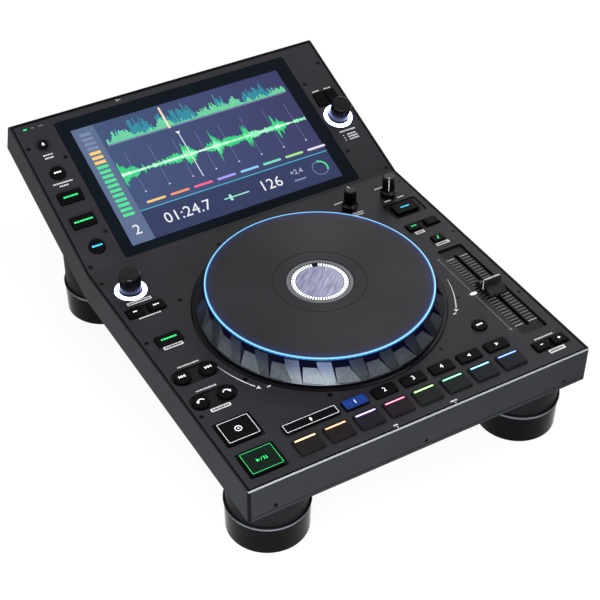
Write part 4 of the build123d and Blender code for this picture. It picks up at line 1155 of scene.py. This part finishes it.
meter = [bar(COLUMN / 2, 32.0 + 5.6 * i, 11.0, 3.4, 0.5) for i in range(18)]
paint("meter_low", meter[:11], "#57e39a", 2)
paint("meter_high", meter[11:14], "#ffd27a", 2)
paint("meter_off", meter[14:], "#7d8cac", 2)
readout("deck_number", "2", COLUMN / 2, 14.0, 15.0)
readout("time", "01:24.7", 62.0, BAND_Y, 16.0)
readout("tempo", "126", 148.0, BAND_Y, 16.0)
readout("range", "+2.4", 177.0, 19.5, 7.5, "#c8cce0")
slider = [bar(112.0, BAND_Y, 26.0, 1.2, 0.6), bar(106.0, BAND_Y, 2.4, 7.0, 0.8)]
paint("slider", slider, "#a9f5dc", 2)
paint("turn_dial", [ring(201.0, BAND_Y, 8.0, 1.0)], "#6f7aa4", 2)
paint("turn_dial_part", [arc(201.0, BAND_Y, 7.5, 1.8, -30, 90)], "#57e39a", 3)
paint("small_marks", dashes(177.0, 10.5, 12.0, 1.8, 61), "#8f9ac0", 2)
print("meter steps:", len(meter))

# %% [markdown]
# Sockets get what a plug meets: blades in the mains inlet, gold wires in the network socket,
# a tongue in each USB port, and nickel sleeves on the audio sockets.

# %% Contacts in the sockets
mount_of = {mount["name"]: Vector(mount["pos_m"]) for mount in frame["record"]["mounts"]}


def block(name, mount, low, high, material, bevel_mm=0.2):
    """A small bevelled block between two corners, in millimetres from a mount."""
    low, high = (mount_of[mount] + MM * Vector(corner) for corner in (low, high))
    mesh = bmesh.new()
    bmesh.ops.create_cube(mesh, size=1.0)
    for vert in mesh.verts:
        vert.co = vert.co * (high - low) + (high + low) / 2
    bevel = {"offset": bevel_mm * MM, "segments": 2, "profile": 0.7, "affect": "EDGES"}
    bmesh.ops.bevel(mesh, geom=mesh.edges[:], **bevel)
    return new_piece(name, mesh, material)


for i, (x, z) in enumerate(((-7.0, -1.6), (0.0, 3.4), (7.0, -1.6))):
    low, high = (x - 1.0, -16.9, z - 2.0), (x + 1.0, -4.0, z + 2.0)
    block(f"inlet_blade_{i + 1}", "mains_inlet", low, high, nickel)
block("rear_usb_tongue", "rear_usb", (-5.6, -11.9, 0.1), (5.6, -1.0, 1.9), socket_nylon)
block("front_usb_tongue", "front_usb", (-5.6, 1.0, 0.1), (5.6, 11.9, 1.9), socket_nylon)
WIRE_PITCH = 1.02  # mm
for i in range(8):
    x = (i - 3.5) * WIRE_PITCH
    low, high = (x - 0.18, -13.8, -3.9), (x + 0.18, -3.0, -3.5)
    block(f"network_wire_{i + 1}", "network_socket", low, high, gold, 0.05)
print("mounts:", len(mount_of))

# %% Sleeves of the audio sockets
def sleeve(name, mouth, outer, inner, length, material):
    """A thin open tube along Y that closes round a round socket."""
    mesh = bmesh.new()
    loops = []
    for radius, y in ((outer, 0.0), (outer, length), (inner, length), (inner, 0.0)):
        spots = [mouth + MM * Vector((x, y, z)) for x, z in disc(0, 0, radius, 48)]
        loops.append([mesh.verts.new(spot) for spot in spots])
    for first, second in zip(loops, loops[1:] + loops[:1]):
        band(mesh, first, second)
    bmesh.ops.recalc_face_normals(mesh, faces=mesh.faces)
    return new_piece(name, mesh, material)


for i in range(3):
    mouth = mount_of[f"audio_jack_{i + 1}"] + MM * Vector((0, -6.2, 0))
    tube = sleeve(f"audio_sleeve_{i + 1}", mouth, 4.3, 4.17, 6.25, nickel)
print("corners of a sleeve:", len(tube.data.vertices))

# %% [markdown]
# The studio: the camera and the reflections see a white floor and a white surround, while the
# light that falls on the player comes from large soft lamps and a mild sky. The floor keeps a
# faint shadow, so the feet stand on something.

# %% Floor and surround
WHITE = linear("#ffffff")


def seen_rays(tree):
    """1 for rays that the eye, a mirror or a glass sends out."""
    path = add(tree, "LightPath").node.outputs
    seen = add(tree, "Math MAXIMUM", path["Is Camera Ray"], path["Is Glossy Ray"])
    return add(tree, "Math MAXIMUM", seen, path["Is Transmission Ray"])


def studio_floor():
    """White floor that keeps a faint shadow."""
    material, tree, place = start("studio_floor_paper")
    share = add(tree, "Math MULTIPLY", seen_rays(tree), 0.8)
    paper = layered(tree, linear("#f4f4f4"), (grain(tree, place, 3.0), "#f8f8f8"))
    matt = add(tree, "BsdfPrincipled", Base_Color=paper, Roughness=0.9)
    glow = add(tree, "Emission", WHITE, 1.08)
    add(tree, "OutputMaterial", add(tree, "MixShader", share, matt, glow))
    return material


floor_mesh = bmesh.new()
bmesh.ops.create_grid(floor_mesh, x_segments=1, y_segments=1, size=6.0)
floor = made("floor", floor_mesh, studio_floor())

world = bpy.data.worlds.new("studio")
bpy.context.scene.world = world
world.use_nodes = True
sky = world.node_tree
sky.nodes.clear()
plain, white = add(sky, "Background", WHITE, 0.42), add(sky, "Background", WHITE, 1.0)
add(sky, "OutputWorld", add(sky, "MixShader", seen_rays(sky), plain, white))
print("floor is", round(floor.dimensions.x), "m wide")

# %% [markdown]
# The lamps are soft boxes of half a metre to a metre, as round a product on a table: one over
# the front, one behind, one on each side, and a small low one for the near corner.

# %% Lamps
def soft_lamp(name, spot, aim, width, height, watts, spread=180.0):
    """A rectangular soft box that points at a place. A grid can narrow its spread."""
    lamp = bpy.data.lights.new(name, "AREA")
    lamp.shape = "RECTANGLE"
    lamp.size, lamp.size_y, lamp.energy = width, height, watts
    lamp.spread = math.radians(spread)
    holder = put(name, lamp)
    spot = Vector(spot)
    look = (Vector(aim) - spot).to_track_quat("-Z", "Y")
    holder.matrix_world = Matrix.Translation(spot) @ look.to_matrix().to_4x4()


middle = (0, 0, 0.08)
near_corner = (-0.16, -0.2, 0.07)
soft_lamp("key_lamp", (0.25, -0.35, 1.6), middle, 0.8, 0.6, 7)
soft_lamp("back_lamp", (1.3, 1.1, 1.2), middle, 0.9, 0.9, 6)
soft_lamp("corner_lamp", (-0.55, -0.85, 0.24), near_corner, 0.7, 0.3, 2.4, 75.0)
soft_lamp("left_box", (-1.42, 0.05, 0.5), middle, 0.7, 0.9, 4.5)
soft_lamp("right_box", (0.56, -1.23, 0.87), middle, 0.9, 0.4, 5)
print("lamps:", len(bpy.data.lights))

# %% View
bpy.context.scene.view_settings.view_transform = "Standard"
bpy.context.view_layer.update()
